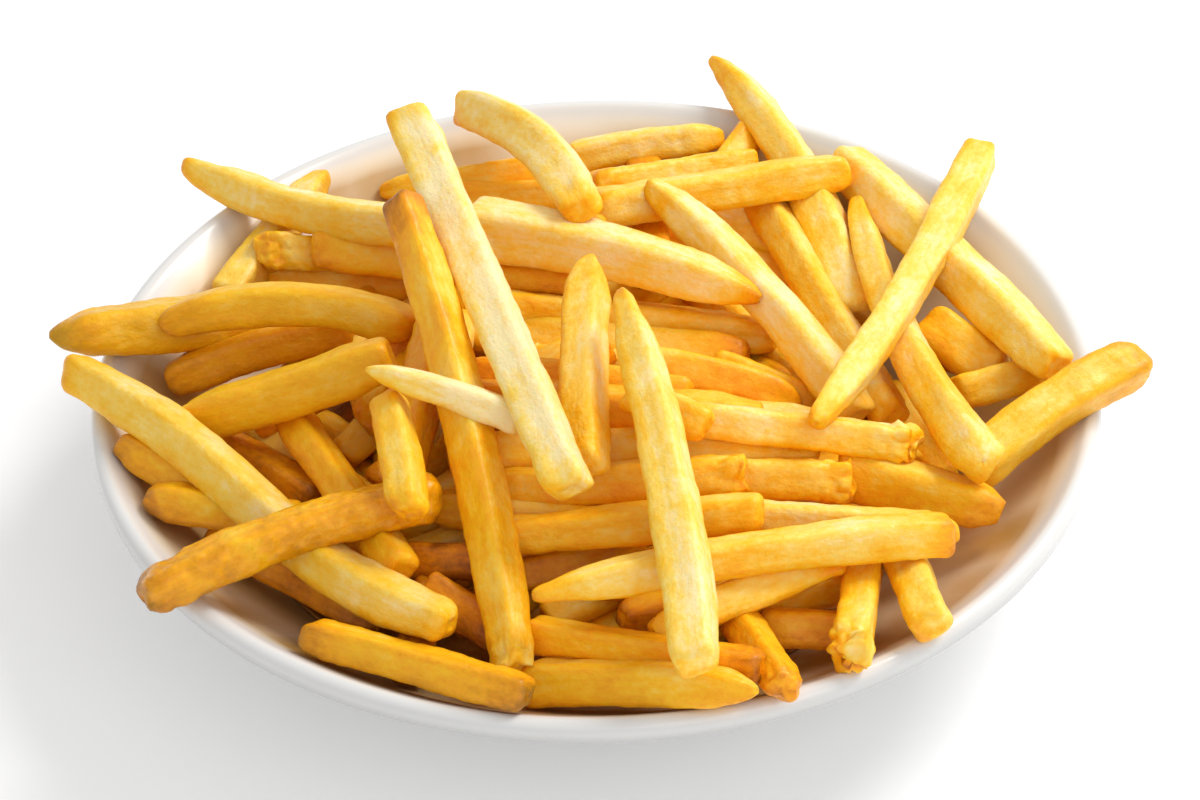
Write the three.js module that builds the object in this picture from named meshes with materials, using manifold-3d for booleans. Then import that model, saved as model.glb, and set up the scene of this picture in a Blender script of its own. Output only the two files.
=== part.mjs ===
// A portion of french fries heaped in its shallow white bowl.
// Millimetres, +Z up. The origin is the centre of the bowl's underside, and the diner sits at -Y.
import * as THREE from 'three';
import { mergeVertices } from 'three/addons/utils/BufferGeometryUtils.js';
import Module from 'manifold-3d';

// Bowl
const RIM_RADIUS = 105;
const RIM_HEIGHT = 40;
const RIM_WALL = 4.4;
const RIM_SIDE = 2.4; // upright band under the rounded lip
const RIM_TUCK = 0.3; // how far that band draws in
const UNDER_INSET = 1; // from the rim's radius to the top of the underside
const UNDER_POWER = 1.25; // how the underside flattens towards the foot
const FOOT_RADIUS = 50;
const FOOT_HEIGHT = 3;
const FOOT_FLARE = 2;
const FOOT_ROUND = 0.6;
const FLOOR_HEIGHT = 7.5;
const FLOOR_RADIUS = 42;
const WALL_POWER = 1.45; // how the wall steepens from the floor to the rim
const WALL_LEAN = 0.78; // share of a height over the wall that is distance from it
const BOWL_SEGMENTS = 56;
const WALL_STEPS = 5;
const LIP_STEPS = 4;
const UPRIGHT_GAP = 1.25; // an upright gap over the slanting wall for each gap square to it

// Heap: a dome that the fries follow, and the core inside it, the top of an egg
const PEAK_X = -4;
const PEAK_Y = -10;
const PEAK_HEIGHT = 76;
const DOME_RADIUS = 96;
const DOME_EDGE = 36;
const CORE_RADIUS = 84;
const CORE_HEIGHT = 38;
const CORE_CENTRE = 10;
const CORE_SEGMENTS = 20;
const CORE_SINK = 0.4; // share of half a side that the lowest fries lie over the core
const CORE_REACH = 90; // how far out the core goes over the bowl's wall
const DISH_GAP = 0.35; // between the heap and the bowl

// A fry: squarish, cut from a potato, 3/8 of an inch a side
const LONGEST = 116;
const TAPER = 0.22; // share of the length that narrows to a tip
const PLAIN_TIP = 0.8; // a straight fry whose tips keep this share of the width has no rings where it tapers
const CORNER = 0.2; // share of the side that each corner takes off
const WAY_STEP = 0.02; // share of the length over which a fry's direction is taken
const TOUCH = 0.423; // share of the shown width from a fry's middle to where it touches another
const FLOOR_CLEAR = 0.4; // kept between a fry and the bowl
const TURN_GROWTH = 0.3; // how much wider a fry looks when its edge faces the diner

// The diner's line of sight, along which the fries are laid out
const SIGHT_RISE = THREE.MathUtils.degToRad(38.6);
const SIGHT_ROLL = THREE.MathUtils.degToRad(1.43);
const SIGHT_DISTANCE = 850;
const SIGHT_AIM = new THREE.Vector3(0.9, 0, 35.1);
const NEAREST = 730; // the depths along it between which everything lies
const DEEPEST = 990;
const DEPTH_STEP = 1;

// Settling
const SAMPLES = 17; // points along a fry
const REST_STEP = 0.5; // steps of the bowl's outline, in millimetres and radians
const REST_TURN = 0.25;
const ROUNDS = 500;
const SWEEPS = 3;
const PULL = 1.2; // how far the fries sink in a round, easing to nothing
const PULL_ENDS = 0.8; // share of the rounds after which it is nothing
const EASE = 0.04; // share of its lean that a fry gives up in a round
const LEVEL_LEAN = 0.3; // lean beyond lying level, along the dome
const LEAST_LEAN = 0.3; // lean that even the longest fry may have
const FREE_LEAN = 0.5; // lean that a neighbour may add
const STACK = 0.85; // share of its own thickness by which a fry lies over another
const HIDDEN_STACK = 0.5; // the same where a third fry covers the crossing
const COVER = 0.8; // share of its reach within which that third fry covers it
const SLANT_LIMIT = 0.3; // steepest slant that thickens a crossing, squared
const CEILING_GAP = 8; // how far over the dome a fry may lie
const CEILING_SHARE = 0.1; // share of what is higher that it gives up in a round
const STEP_OVER = 1.6; // how much further than its own crossings ask a fry moves in a sweep

// Filling: fries that fill the heap behind and below the laid ones
const FILL_TRIES = 8000;
const FILL_MOST = 30;
const FILL_RADIUS = 84;
const FILL_LENGTHS = [42, 84];
const FILL_SIDES = [8.2, 10.2];
const FILL_TIPS = [0.6, 0.95];
const FILL_SINKS = [5, 33]; // how far under the dome, tried from the least,
const FILL_SINK_STEP = 2; // in steps of this
const FILL_ROUND = 0.7; // share by which the outer ones turn to lie along the rim
const FILL_APART = 0.6; // share of two fries' mean side that keeps their middles apart
const FILL_SHADE = 10; // how far from a laid fry a filling fry may show
const FILL_SEED = 20261;

// Each laid fry as the diner sees it, from the lowest to the topmost: where its two ends are, across and up
// from the aim, the width it shows, its bow and its sway to the left of the way from first to second end,
// the share of its width at each tip, the turn of its edge towards the diner in degrees, and the share by
// which it widens from first to second end.
const LAID = [
  ['under_front_left', -40, -56.5, -34, -36, 9, 0, 0, 1, 1, 0, 0],
  ['under_right', 82, 8, 52, 15, 8.5, 0, 0, 1, 1, 0, 0],
  ['under_back', 9, 52, 11, 26, 8.5, 0, 0, 1, 1, 0, 0],
  ['deep_left', -84, -7, -58, -22, 10.5, 0, 0, 1, 1, 20, 0],
  ['deep_left_low', -82, -28, -46, -47, 7.5, 0, 0, 0.8, 0.8, 0, 0],
  ['deep_gap', -46, -33, -24, -34, 8, 0, 0, 1, 1, 0, 0],
  ['deep_front', -36, -40, -20, -49, 9, 0, 0, 1, 1, 0, 0],
  ['deep_middle', -18, -37, 10, -31, 7, 0, 0, 1, 1, 0, 0],
  ['deep_front_right', 34, -47.5, 54, -48.5, 8.5, 0, 0, 1, 1, 0, 0],
  ['deep_centre_right', 24, 8, 46, -0.5, 6, 0, 0, 1, 0.7, 0, 0],
  ['deep_right', 60, 2, 73, -17, 7, 0, 0, 1, 0.8, 0, 0],
  ['deep_back_left', -70, 27, -38, 24, 7, 0, 0, 1, 1, 0, 0],
  ['left_upright', -57.5, 47.5, -78.5, 21, 9, 0, 0, 0.4, 1, 30, 0],
  ['left_stub', -100, -8.5, -72, -28, 8, 0, 0, 0.7, 1, 10, 0],
  ['back_flat', -46, 43.5, -12, 48, 6.5, 0, 0, 0.5, 1, 0, 0],
  ['back_skyline', -6, 50.5, 26, 54.8, 7.5, 0.8, 0, 1, 0.45, 10, 0],
  ['right_tucked', 68, 16.5, 83, 5, 9.5, 0, 0, 0.8, 1, 0, 0],
  ['right_orange', 74, 1, 97, 7.3, 8, 0, 0, 1, 0.5, 0, 0],
  ['right_overhang', 113.5, 9, 78, -14, 12, -1.4, 0, 0.8, 1, 25, 0],
  ['left_spotted', -72, 31.5, -50, 30, 8, 0, 0, 0.8, 1, 0, 0],
  ['left_browned_low', -95, -20.5, -62, -26, 9.5, 0, 0, 0.5, 1, 15, 0],
  ['left_overhang', -115, 13.5, -72, 18, 12, -0.5, 0, 0.15, 1, 15, 0.25],
  ['back_shaded', -33, 42.5, -3, 42.5, 6.5, 0, 0, 1, 1, 0, 0],
  ['right_broad', 50.5, 50.5, 95.5, 6.5, 12.4, 0.3, 0, 0.85, 0.75, 30, 0],
  ['back_stub', 25, 47, 33.5, 58, 7, 0, 0, 1, 0.8, 0, 0],
  ['back_horn', 23.5, 71.5, 53, 16, 10.5, 4.8, 0, 0.35, 1, 20, 0.35],
  ['right_pointed', 50, -14.5, 84, -23.5, 12, 0, 0, 1, 0.5, 20, -0.2],
  ['middle_mottled', 20, -16, 53.5, -17, 8.5, 0, 0, 1, 0.8, 5, 0],
  ['front_leaning', 29, -45.5, 39, -60.5, 9.5, 0, 0, 1, 0.9, 25, 0],
  ['front_right_low', 63, -32, 69.5, -47.5, 9.8, 0, 0, 1, 0.9, 10, 0],
  ['front_broken', 55, -33, 52.5, -54, 9.5, 0, 0, 1, 0.9, 15, 0],
  ['middle_blunt', -23, -18.5, 31.5, -15.5, 9.5, 0, 0, 1, 0.9, 10, 0],
  ['left_shaded', -90.5, 3.5, -52, 15, 9.5, 1.5, 0, 0.8, 1, 15, 0],
  ['back_left_low', -60, 31.5, -26, 27.5, 8.5, 0, 0, 0.8, 1, 0, 0],
  ['back_grainy', -2, 44.3, 33, 49.5, 6.8, 0, 0, 1, 0.9, 0, 0],
  ['right_inner', 34, 42, 61, -4.5, 9.5, 0, 0, 1, 0.9, 25, 0],
  ['right_slender', 53.5, 42.5, 80, -13, 9, -3.8, 0, 0.5, 1.1, 20, 0.4],
  ['middle_right_low', 8, 6.8, 42, -1, 8.5, 1.5, 0, 1, 0.4, 0, -0.2],
  ['middle_left_small', -22, 25.8, -1, 24, 5.5, 0, 0, 1, 1, 0, 0],
  ['middle_long', -24, 19.3, 37, 13.2, 9.5, 0, 0, 1, 0.7, 10, 0],
  ['front_right_slant', 50, -33, 11, -48.5, 9, 0, 0, 1, 0.6, 10, 0],
  ['front_ringed', -15, -48.5, 34, -56.2, 8.5, 0, 0, 1, 0.9, 15, 0],
  ['front_rim', -15, -59.3, 33, -60.7, 9.6, 0.8, 0, 1, 0.3, 10, -0.15],
  ['middle_right', 28, -24, 75, -27.5, 8, 0, 0, 1, 0.8, 10, 0],
  ['middle_left_low', -20, -28.5, 34, -23.5, 9.5, 0, 0, 1, 0.9, 10, 0],
  ['left_crossing', -64.5, -3.5, -41.5, -36, 9, 0, 0, 1, 0.9, 20, 0],
  ['left_olive', -91.5, 15.5, -38.5, 14.5, 10.2, 5, 0, 0.7, 0.85, 15, 0],
  ['left_horn', -87, 49.5, -36, 36.5, 9.5, -3.5, 0, 0.45, 1, 15, 0.15],
  ['back_right', -2, 39.8, 51.5, 47.8, 9.5, 0, 0, 1, 0.75, 15, 0],
  ['right_cream', 10.5, 45, 54, -3.5, 10.5, 2.4, 0, 0.5, 0.8, 35, 0.15],
  ['middle_crumbly', 12, -3, 66.3, -9.5, 8, 0, 0, 1, 0.85, 5, 0],
  ['front_left', -61.5, -49, -14.5, -61.8, 9.2, 0, 0, 0.9, 0.9, 15, 0],
  ['front_long', -14, -41, 74, -28.3, 9.6, 2.3, 0, 0.25, 0.85, 15, 0.15],
  ['left_bevelled', -87, -4.5, -43.5, 9.3, 11.8, -0.8, 0, 0.7, 0.8, 15, 0],
  ['left_long', -111, 6.5, -31, -47, 11.6, -2, 2.5, 0.8, 0.85, 20, 0],
  ['centre_broad', -28, 36, 33.5, 21, 12.6, 2.2, 0, 1, 0.25, 25, -0.35],
  ['left_browned', -95.5, -41.5, -33, -20, 11.6, 3, 0, 0.85, 1, 20, 0],
  ['centre_stub', 7, 1, 22.5, -6, 8, 0, 0, 1, 0.8, 0, 0],
  ['centre_peak', -1.8, 30, -2.5, -15, 11, -1.2, 0, 0.3, 0.9, 30, 0],
  ['left_short', -44.8, 1, -40, -24, 9.5, 0.8, 0, 0.9, 0.9, 20, 0],
  ['left_tall', -41.5, 42, -18, -57, 11, 2.5, 0, 0.8, 0.8, 35, 0],
  ['back_bent', -28.5, 61, -4, 39.5, 10.5, 4.3, 0, 0.75, 0.8, 10, 0],
  ['centre_tall', 4.3, 23, 20, -56, 11, 2.4, 0, 0.35, 0.85, 20, 0.3],
  ['right_top', 80, 53, 44.8, -5, 8.8, 2.2, 0, 0.8, 0.6, 20, -0.35],
  ['thin_pale', -49, 6.5, -15, -5, 7, 0.7, 0, 0.35, 1, 10, 0.25],
  ['top_pale', -39.5, 58.5, -6, -19, 10, 0, 0, 0.9, 0.9, 10, 0],
].map(([name, across0, up0, across1, up1, width, bow, sway, tip0, tip1, turn, widening]) => ({
  name, across0, up0, across1, up1, width, bow, sway, tip0, tip1, widening,
  turn: THREE.MathUtils.degToRad(turn),
}));

const FORWARD = new THREE.Vector3(0, Math.cos(SIGHT_RISE), -Math.sin(SIGHT_RISE));
const SIDEWAYS = new THREE.Vector3(1, 0, 0);
const OVERHEAD = new THREE.Vector3().crossVectors(SIDEWAYS, FORWARD);
const ACROSS = SIDEWAYS.clone().applyAxisAngle(FORWARD, SIGHT_ROLL);
const UPWARD = OVERHEAD.clone().applyAxisAngle(FORWARD, SIGHT_ROLL);
const EYE = SIGHT_AIM.clone().addScaledVector(FORWARD, -SIGHT_DISTANCE);

// The point that is seen at (across, up) and lies at a depth along the line of sight.
function place(across, up, depth) {
  const share = depth / SIGHT_DISTANCE;
  return EYE.clone().addScaledVector(FORWARD, depth)
    .addScaledVector(ACROSS, across * share).addScaledVector(UPWARD, up * share);
}

// Where a point is seen, and how deep it lies.
function sight(point) {
  const from = point.clone().sub(EYE);
  const depth = from.dot(FORWARD);
  const share = SIGHT_DISTANCE / depth;
  return { across: from.dot(ACROSS) * share, up: from.dot(UPWARD) * share, depth };
}

// ---------- bowl ----------

const INNER_RADIUS = RIM_RADIUS - RIM_WALL;
const LIP_RADIUS = RIM_WALL / 2;

function wallHeight(radius) {
  const share = Math.max(0, (radius - FLOOR_RADIUS) / (INNER_RADIUS - FLOOR_RADIUS));
  return FLOOR_HEIGHT + (RIM_HEIGHT - LIP_RADIUS - FLOOR_HEIGHT) * share ** WALL_POWER;
}

// The bowl's outline, grown on every side by a gap: up the inside, over the lip and down to the foot.
function bowlProfile(gap) {
  const points = [new THREE.Vector2(0, FLOOR_HEIGHT + gap)];
  for (let k = 0; k < WALL_STEPS; k += 1) {
    const radius = FLOOR_RADIUS + (INNER_RADIUS - FLOOR_RADIUS) * (k / WALL_STEPS);
    points.push(new THREE.Vector2(radius, wallHeight(radius) + gap * UPRIGHT_GAP));
  }
  const lip = LIP_RADIUS + gap;
  for (let k = 0; k <= LIP_STEPS; k += 1) {
    const angle = Math.PI * (1 - k / LIP_STEPS);
    const out = RIM_RADIUS - LIP_RADIUS + lip * Math.cos(angle);
    points.push(new THREE.Vector2(out, RIM_HEIGHT - LIP_RADIUS + lip * Math.sin(angle)));
  }
  const bandBottom = RIM_HEIGHT - LIP_RADIUS - RIM_SIDE;
  const flareRadius = FOOT_RADIUS + FOOT_FLARE;
  points.push(new THREE.Vector2(RIM_RADIUS - RIM_TUCK + gap, bandBottom));
  for (let k = 1; k < WALL_STEPS; k += 1) {
    const share = 1 - k / WALL_STEPS;
    const radius = flareRadius + (RIM_RADIUS - UNDER_INSET - flareRadius) * share;
    const height = FOOT_HEIGHT + (bandBottom - FOOT_HEIGHT) * share ** UNDER_POWER;
    points.push(new THREE.Vector2(radius + gap, height - gap));
  }
  points.push(new THREE.Vector2(flareRadius + gap, FOOT_HEIGHT));
  points.push(new THREE.Vector2(FOOT_RADIUS + gap, FOOT_ROUND - gap));
  points.push(new THREE.Vector2(FOOT_RADIUS - FOOT_ROUND + gap, -gap));
  points.push(new THREE.Vector2(0, -gap));
  return points.reverse();
}

// Turns an outline round the upright axis.
function turned(points) {
  return new THREE.LatheGeometry(points, BOWL_SEGMENTS).rotateX(Math.PI / 2);
}

// ---------- what the fries rest on ----------

function domeHeight(x, y) {
  const share = Math.hypot(x - PEAK_X, y - PEAK_Y) / DOME_RADIUS;
  return PEAK_HEIGHT - (PEAK_HEIGHT - DOME_EDGE) * share ** 2;
}

function coreHeight(x, y) {
  const share = Math.hypot(x - PEAK_X, y - PEAK_Y) / CORE_RADIUS;
  if (share >= 1) return 0;
  return CORE_CENTRE + (CORE_HEIGHT - CORE_CENTRE) * Math.sqrt(1 - share ** 2);
}

// Outline of the bowl's inside and lip, as close points.
function restingPoints() {
  const points = [];
  for (let radius = 0; radius <= INNER_RADIUS; radius += REST_STEP) points.push([radius, wallHeight(radius)]);
  for (let angle = Math.PI; angle > 0; angle -= REST_TURN) {
    const out = RIM_RADIUS - LIP_RADIUS + LIP_RADIUS * Math.cos(angle);
    points.push([out, RIM_HEIGHT - LIP_RADIUS + LIP_RADIUS * Math.sin(angle)]);
  }
  return points;
}

const RESTING = restingPoints();

function clearance(point) {
  const radius = Math.hypot(point.x, point.y);
  return Math.min(...RESTING.map(([out, height]) => Math.hypot(out - radius, height - point.z)));
}

// How deep a ball goes along a line of sight before it touches the bowl or settles on the core.
function floorDepth(across, up, reach) {
  for (let depth = NEAREST; depth < DEEPEST; depth += DEPTH_STEP) {
    const point = place(across, up, depth);
    if (point.z - coreHeight(point.x, point.y) < reach * CORE_SINK || clearance(point) < reach) return depth;
  }
  return Infinity;
}

// How deep the dome lies along a line of sight, or where the line passes nearest above it.
function domeDepth(across, up) {
  let least = Infinity;
  let best = NEAREST;
  for (let depth = NEAREST; depth < DEEPEST; depth += DEPTH_STEP) {
    const point = place(across, up, depth);
    const above = point.z - domeHeight(point.x, point.y);
    if (above <= 0) return depth;
    if (above < least) {
      least = above;
      best = depth;
    }
  }
  return best;
}

// ---------- laying the fries ----------

function seenAt(fry, t) {
  const across = fry.across1 - fry.across0;
  const up = fry.up1 - fry.up0;
  const length = Math.hypot(across, up);
  const aside = fry.bow * 4 * t * (1 - t) + fry.sway * Math.sin(2 * Math.PI * t);
  return [fry.across0 + across * t - (up / length) * aside, fry.up0 + up * t + (across / length) * aside];
}

function tipScale(fry, t) {
  if (t < TAPER) return fry.tip0 + (1 - fry.tip0) * Math.sin((Math.PI / 2) * (t / TAPER));
  if (t > 1 - TAPER) return fry.tip1 + (1 - fry.tip1) * Math.sin((Math.PI / 2) * ((1 - t) / TAPER));
  return 1;
}

function slopeOf(depths) {
  const middle = depths.reduce((sum, d) => sum + d, 0) / SAMPLES;
  let top = 0;
  let bottom = 0;
  depths.forEach((depth, k) => {
    const t = k / (SAMPLES - 1) - 0.5;
    top += t * (depth - middle);
    bottom += t * t;
  });
  return { middle, slope: top / bottom };
}

function limit(value, low, high) {
  return Math.min(Math.max(value, low), high);
}

function prepare(fry) {
  const shares = Array.from({ length: SAMPLES }, (_, k) => k / (SAMPLES - 1));
  const seen = shares.map((t) => seenAt(fry, t));
  const side = fry.width / (1 + TURN_GROWTH * Math.sin(2 * fry.turn));
  const reach = shares.map((t) => fry.width * TOUCH * tipScale(fry, t));
  const dome = seen.map(([across, up]) => domeDepth(across, up));
  const floor = seen.map(([across, up], k) => floorDepth(across, up, reach[k] + FLOOR_CLEAR));
  const length = Math.hypot(fry.across1 - fry.across0, fry.up1 - fry.up0);
  const steepest = Math.sqrt(Math.max(LONGEST ** 2 - length ** 2, (LEAST_LEAN * length) ** 2));
  const level = (fry.up1 - fry.up0) / Math.tan(SIGHT_RISE);
  const { middle, slope } = slopeOf(dome);
  const along = limit(slope, level - LEVEL_LEAN * length, level + LEVEL_LEAN * length);
  const lean = limit(along, -steepest, steepest);
  const ends = { d0: middle - lean / 2, d1: middle + lean / 2 };
  return { ...fry, shares, seen, side, reach, dome, floor, length, steepest, lean, ...ends };
}

// Every place where one fry is seen to lie over another, with the room that it needs there.
function crossings(fries) {
  const found = [];
  fries.forEach((under, low) => {
    fries.slice(low + 1).forEach((over, extra) => {
      const above = fries.slice(low + extra + 2);
      over.seen.forEach(([across, up], k) => {
        let best = 0;
        let at = 0;
        under.seen.forEach(([otherAcross, otherUp], m) => {
          const reach = over.reach[k] + under.reach[m];
          const room = reach ** 2 - (across - otherAcross) ** 2 - (up - otherUp) ** 2;
          if (room > best) {
            best = room;
            at = m;
          }
        });
        if (best === 0) return;
        const covered = above.some((top) => top.seen.some(
          ([a, u], m) => Math.hypot(a - across, u - up) < top.reach[m] * COVER,
        ));
        const share = covered ? HIDDEN_STACK : 1;
        found.push({ over, under, s: over.shares[k], t: under.shares[at], room: Math.sqrt(best) * share });
      });
    });
  });
  return found;
}

function depthAt(fry, t) {
  return fry.d0 + (fry.d1 - fry.d0) * t;
}

function push(fry, t, amount) {
  const size = (1 - t) ** 2 + t ** 2;
  fry.d0 += (amount * (1 - t)) / size;
  fry.d1 += (amount * t) / size;
}

function keepLean(fry) {
  const middle = (fry.d0 + fry.d1) / 2;
  const free = FREE_LEAN * fry.length;
  const lean = limit(limit(fry.d1 - fry.d0, fry.lean - free, fry.lean + free), -fry.steepest, fry.steepest);
  fry.d0 = middle - lean / 2;
  fry.d1 = middle + lean / 2;
}

function keepAboveFloor(fry) {
  fry.shares.forEach((t, k) => {
    const over = depthAt(fry, t) - fry.floor[k];
    if (over > 0) push(fry, t, -over);
  });
}

function keepUnderCeiling(fry) {
  let move0 = 0;
  let move1 = 0;
  fry.shares.forEach((t, k) => {
    const high = Math.max(0, fry.dome[k] + CEILING_GAP - depthAt(fry, t)) * CEILING_SHARE;
    const size = (1 - t) ** 2 + t ** 2;
    move0 = Math.max(move0, (high * (1 - t)) / size);
    move1 = Math.max(move1, (high * t) / size);
  });
  fry.d0 += move0;
  fry.d1 += move1;
}

// Moves every crossing apart at once, each fry by the mean of what its crossings ask.
function sweep(fries, crossed) {
  const moves = new Map(fries.map((fry) => [fry, { d0: 0, d1: 0, count: 0 }]));
  fries.forEach((fry) => {
    fry.slant = ((fry.d1 - fry.d0) / fry.length) ** 2;
  });
  crossed.forEach(({ over, under, s, t, room }) => {
    const slant = Math.sqrt(1 + Math.min(Math.max(over.slant, under.slant), SLANT_LIMIT));
    const short = room * slant * STACK - (depthAt(under, t) - depthAt(over, s));
    if (short <= 0) return;
    const each = short / ((1 - s) ** 2 + s ** 2 + (1 - t) ** 2 + t ** 2);
    const up = moves.get(over);
    const down = moves.get(under);
    up.d0 -= each * (1 - s);
    up.d1 -= each * s;
    up.count += 1;
    down.d0 += each * (1 - t);
    down.d1 += each * t;
    down.count += 1;
  });
  moves.forEach((move, fry) => {
    fry.d0 += (STEP_OVER * move.d0) / Math.max(1, move.count);
    fry.d1 += (STEP_OVER * move.d1) / Math.max(1, move.count);
  });
}

// Lets the fries sink towards the bowl until each rests on what is seen under it.
function settle(fries) {
  const crossed = crossings(fries);
  for (let round = 0; round < ROUNDS; round += 1) {
    const pull = PULL * Math.max(0, 1 - round / (ROUNDS * PULL_ENDS));
    fries.forEach((fry) => {
      const ease = EASE * (fry.d1 - fry.d0 - fry.lean);
      fry.d0 += pull + ease;
      fry.d1 += pull - ease;
      keepUnderCeiling(fry);
    });
    for (let k = 0; k < SWEEPS; k += 1) {
      sweep(fries, crossed);
      fries.forEach(keepLean);
      fries.forEach(keepAboveFloor);
    }
  }
  return fries.map((fry) => ({
    ...fry,
    side: fry.side * (depthAt(fry, 0.5) / SIGHT_DISTANCE),
    path: (t) => place(...seenAt(fry, t), depthAt(fry, t)),
    facing: FORWARD.clone().negate(),
  }));
}

// ---------- filling the heap ----------

// A small seeded draw, evenly spread from 0 to 1.
function seededDraw(seed) {
  let state = seed;
  return () => {
    state = (Math.imul(state, 1664525) + 1013904223) >>> 0;
    return state / 2 ** 32;
  };
}

function mixed([low, high], share) {
  return low + (high - low) * share;
}

// A straight fry that lies along the dome.
function fillingFry(draw) {
  const share = Math.sqrt(draw());
  const radius = FILL_RADIUS * share;
  const angle = 2 * Math.PI * draw();
  const heading = angle + Math.PI / 2 + Math.PI * (draw() - 0.5) * (1 - FILL_ROUND * share);
  const length = mixed(FILL_LENGTHS, draw());
  const side = mixed(FILL_SIDES, draw());
  const x = PEAK_X + radius * Math.cos(angle);
  const y = PEAK_Y + radius * Math.sin(angle);
  const fall = (-2 * (PEAK_HEIGHT - DOME_EDGE)) / DOME_RADIUS ** 2;
  const rise = fall * ((x - PEAK_X) * Math.cos(heading) + (y - PEAK_Y) * Math.sin(heading));
  const way = new THREE.Vector3(Math.cos(heading), Math.sin(heading), rise).normalize();
  const bulge = (length / 2 / DOME_RADIUS) ** 2 * (PEAK_HEIGHT - DOME_EDGE);
  const middle = new THREE.Vector3(x, y, domeHeight(x, y) - bulge);
  const shares = Array.from({ length: SAMPLES }, (_, k) => k / (SAMPLES - 1));
  const tips = { tip0: mixed(FILL_TIPS, draw()), tip1: mixed(FILL_TIPS, draw()) };
  const turn = (Math.PI / 2) * draw();
  const facing = new THREE.Vector3(0, 0, 1);
  return { shares, side, length, middle, way, turn, facing, ...tips, widening: 0, sharp: true };
}

// The same fry, sunk by a distance.
function sunk(fry, sink) {
  const middle = fry.middle.clone().setZ(fry.middle.z - sink);
  const path = (t) => middle.clone().addScaledVector(fry.way, (t - 0.5) * fry.length);
  return { ...fry, path, points: fry.shares.map(path) };
}

function insideBowl(point, reach) {
  const radius = Math.hypot(point.x, point.y);
  if (radius > INNER_RADIUS - reach) return false;
  return (point.z - wallHeight(radius)) * WALL_LEAN > reach;
}

function standsApart(fry, other) {
  const room = ((fry.side + other.side) / 2) * FILL_APART;
  return other.points.every((far) => fry.points.every((point) => point.distanceTo(far) > room));
}

// Whether the laid fries hide a point from the diner, all but a little past their edges.
function isBehind(point, reach, laid) {
  const seen = sight(point);
  let shaded = false;
  const behind = laid.every((other) => other.seen.every(([across, up], k) => {
    const off = Math.hypot(across - seen.across, up - seen.up);
    if (off < FILL_SHADE) shaded = true;
    return off > reach || seen.depth > depthAt(other, other.shares[k]);
  }));
  return behind && shaded;
}

function fits(fry, laid, filling) {
  const reach = fry.side / 2;
  return fry.points.every((point) => insideBowl(point, reach + DISH_GAP))
    && filling.every((other) => standsApart(fry, other))
    && laid.every((other) => standsApart(fry, other))
    && fry.points.every((point) => isBehind(point, reach, laid));
}

// Fries that fill the heap, each as high under the dome as it fits.
function fill(laid) {
  const draw = seededDraw(FILL_SEED);
  const filling = [];
  for (let k = 0; k < FILL_TRIES && filling.length < FILL_MOST; k += 1) {
    const fry = fillingFry(draw);
    for (let sink = FILL_SINKS[0]; sink < FILL_SINKS[1]; sink += FILL_SINK_STEP) {
      const lower = sunk(fry, sink);
      if (fits(lower, laid, filling)) {
        filling.push(lower);
        break;
      }
    }
  }
  return filling;
}

// ---------- solids ----------

// A square, with its corners taken off unless the fry is hidden deep in the heap.
function sectionPoints({ side, sharp }) {
  const half = side / 2;
  const inset = half - side * CORNER;
  const square = half - (side * CORNER) / 2;
  if (sharp) return [[square, -square], [square, square], [-square, square], [-square, -square]];
  return [
    [half, -inset], [half, inset], [inset, half], [-inset, half],
    [-half, inset], [-half, -inset], [-inset, -half], [inset, -half],
  ];
}

function fryGeometry(fry) {
  const plain = !fry.bow && !fry.sway && Math.min(fry.tip0, fry.tip1) >= PLAIN_TIP;
  const stations = plain ? [0, 0.5, 1] : [0, TAPER, 0.5, 1 - TAPER, 1];
  const section = sectionPoints(fry);
  const positions = [];
  stations.forEach((t) => {
    const centre = fry.path(t);
    const way = fry.path(Math.min(1, t + WAY_STEP)).sub(fry.path(Math.max(0, t - WAY_STEP))).normalize();
    const face = fry.facing.clone().addScaledVector(way, -fry.facing.dot(way)).normalize();
    const beside = new THREE.Vector3().crossVectors(face, way);
    const scale = tipScale(fry, t) * (1 + fry.widening * (t - 0.5));
    section.forEach(([a, b]) => {
      const out = a * Math.cos(fry.turn) - b * Math.sin(fry.turn);
      const up = a * Math.sin(fry.turn) + b * Math.cos(fry.turn);
      const point = centre.clone().addScaledVector(beside, out * scale).addScaledVector(face, up * scale);
      positions.push(...point.toArray());
    });
  });
  const sides = section.length;
  const index = [];
  for (let ring = 0; ring < stations.length - 1; ring += 1) {
    for (let k = 0; k < sides; k += 1) {
      const a = ring * sides + k;
      const b = ring * sides + ((k + 1) % sides);
      index.push(a, b, b + sides, a, b + sides, a + sides);
    }
  }
  const last = (stations.length - 1) * sides;
  for (let k = 1; k < sides - 1; k += 1) {
    index.push(0, k + 1, k, last, last + k, last + k + 1);
  }
  const geometry = new THREE.BufferGeometry();
  geometry.setAttribute('position', new THREE.Float32BufferAttribute(positions, 3));
  geometry.setIndex(index);
  return geometry;
}

const MERGED = 1e-4; // corners closer than this are one
const wasm = await Module();
wasm.setup();

function toManifold(geometry) {
  const bare = geometry.clone();
  bare.deleteAttribute('normal');
  bare.deleteAttribute('uv');
  const merged = mergeVertices(bare, MERGED);
  return new wasm.Manifold(new wasm.Mesh({
    numProp: 3,
    vertProperties: new Float32Array(merged.attributes.position.array),
    triVerts: new Uint32Array(merged.index.array),
  }));
}

// The number of the shell that each corner of a mesh belongs to: corners that share a triangle share a shell.
function shellOf(corners, count) {
  const parent = Array.from({ length: count }, (_, k) => k);
  const root = (k) => {
    let at = k;
    while (parent[at] !== at) {
      parent[at] = parent[parent[at]];
      at = parent[at];
    }
    return at;
  };
  for (let k = 0; k < corners.length; k += 3) {
    parent[root(corners[k + 1])] = root(corners[k]);
    parent[root(corners[k + 2])] = root(corners[k]);
  }
  return root;
}

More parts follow.
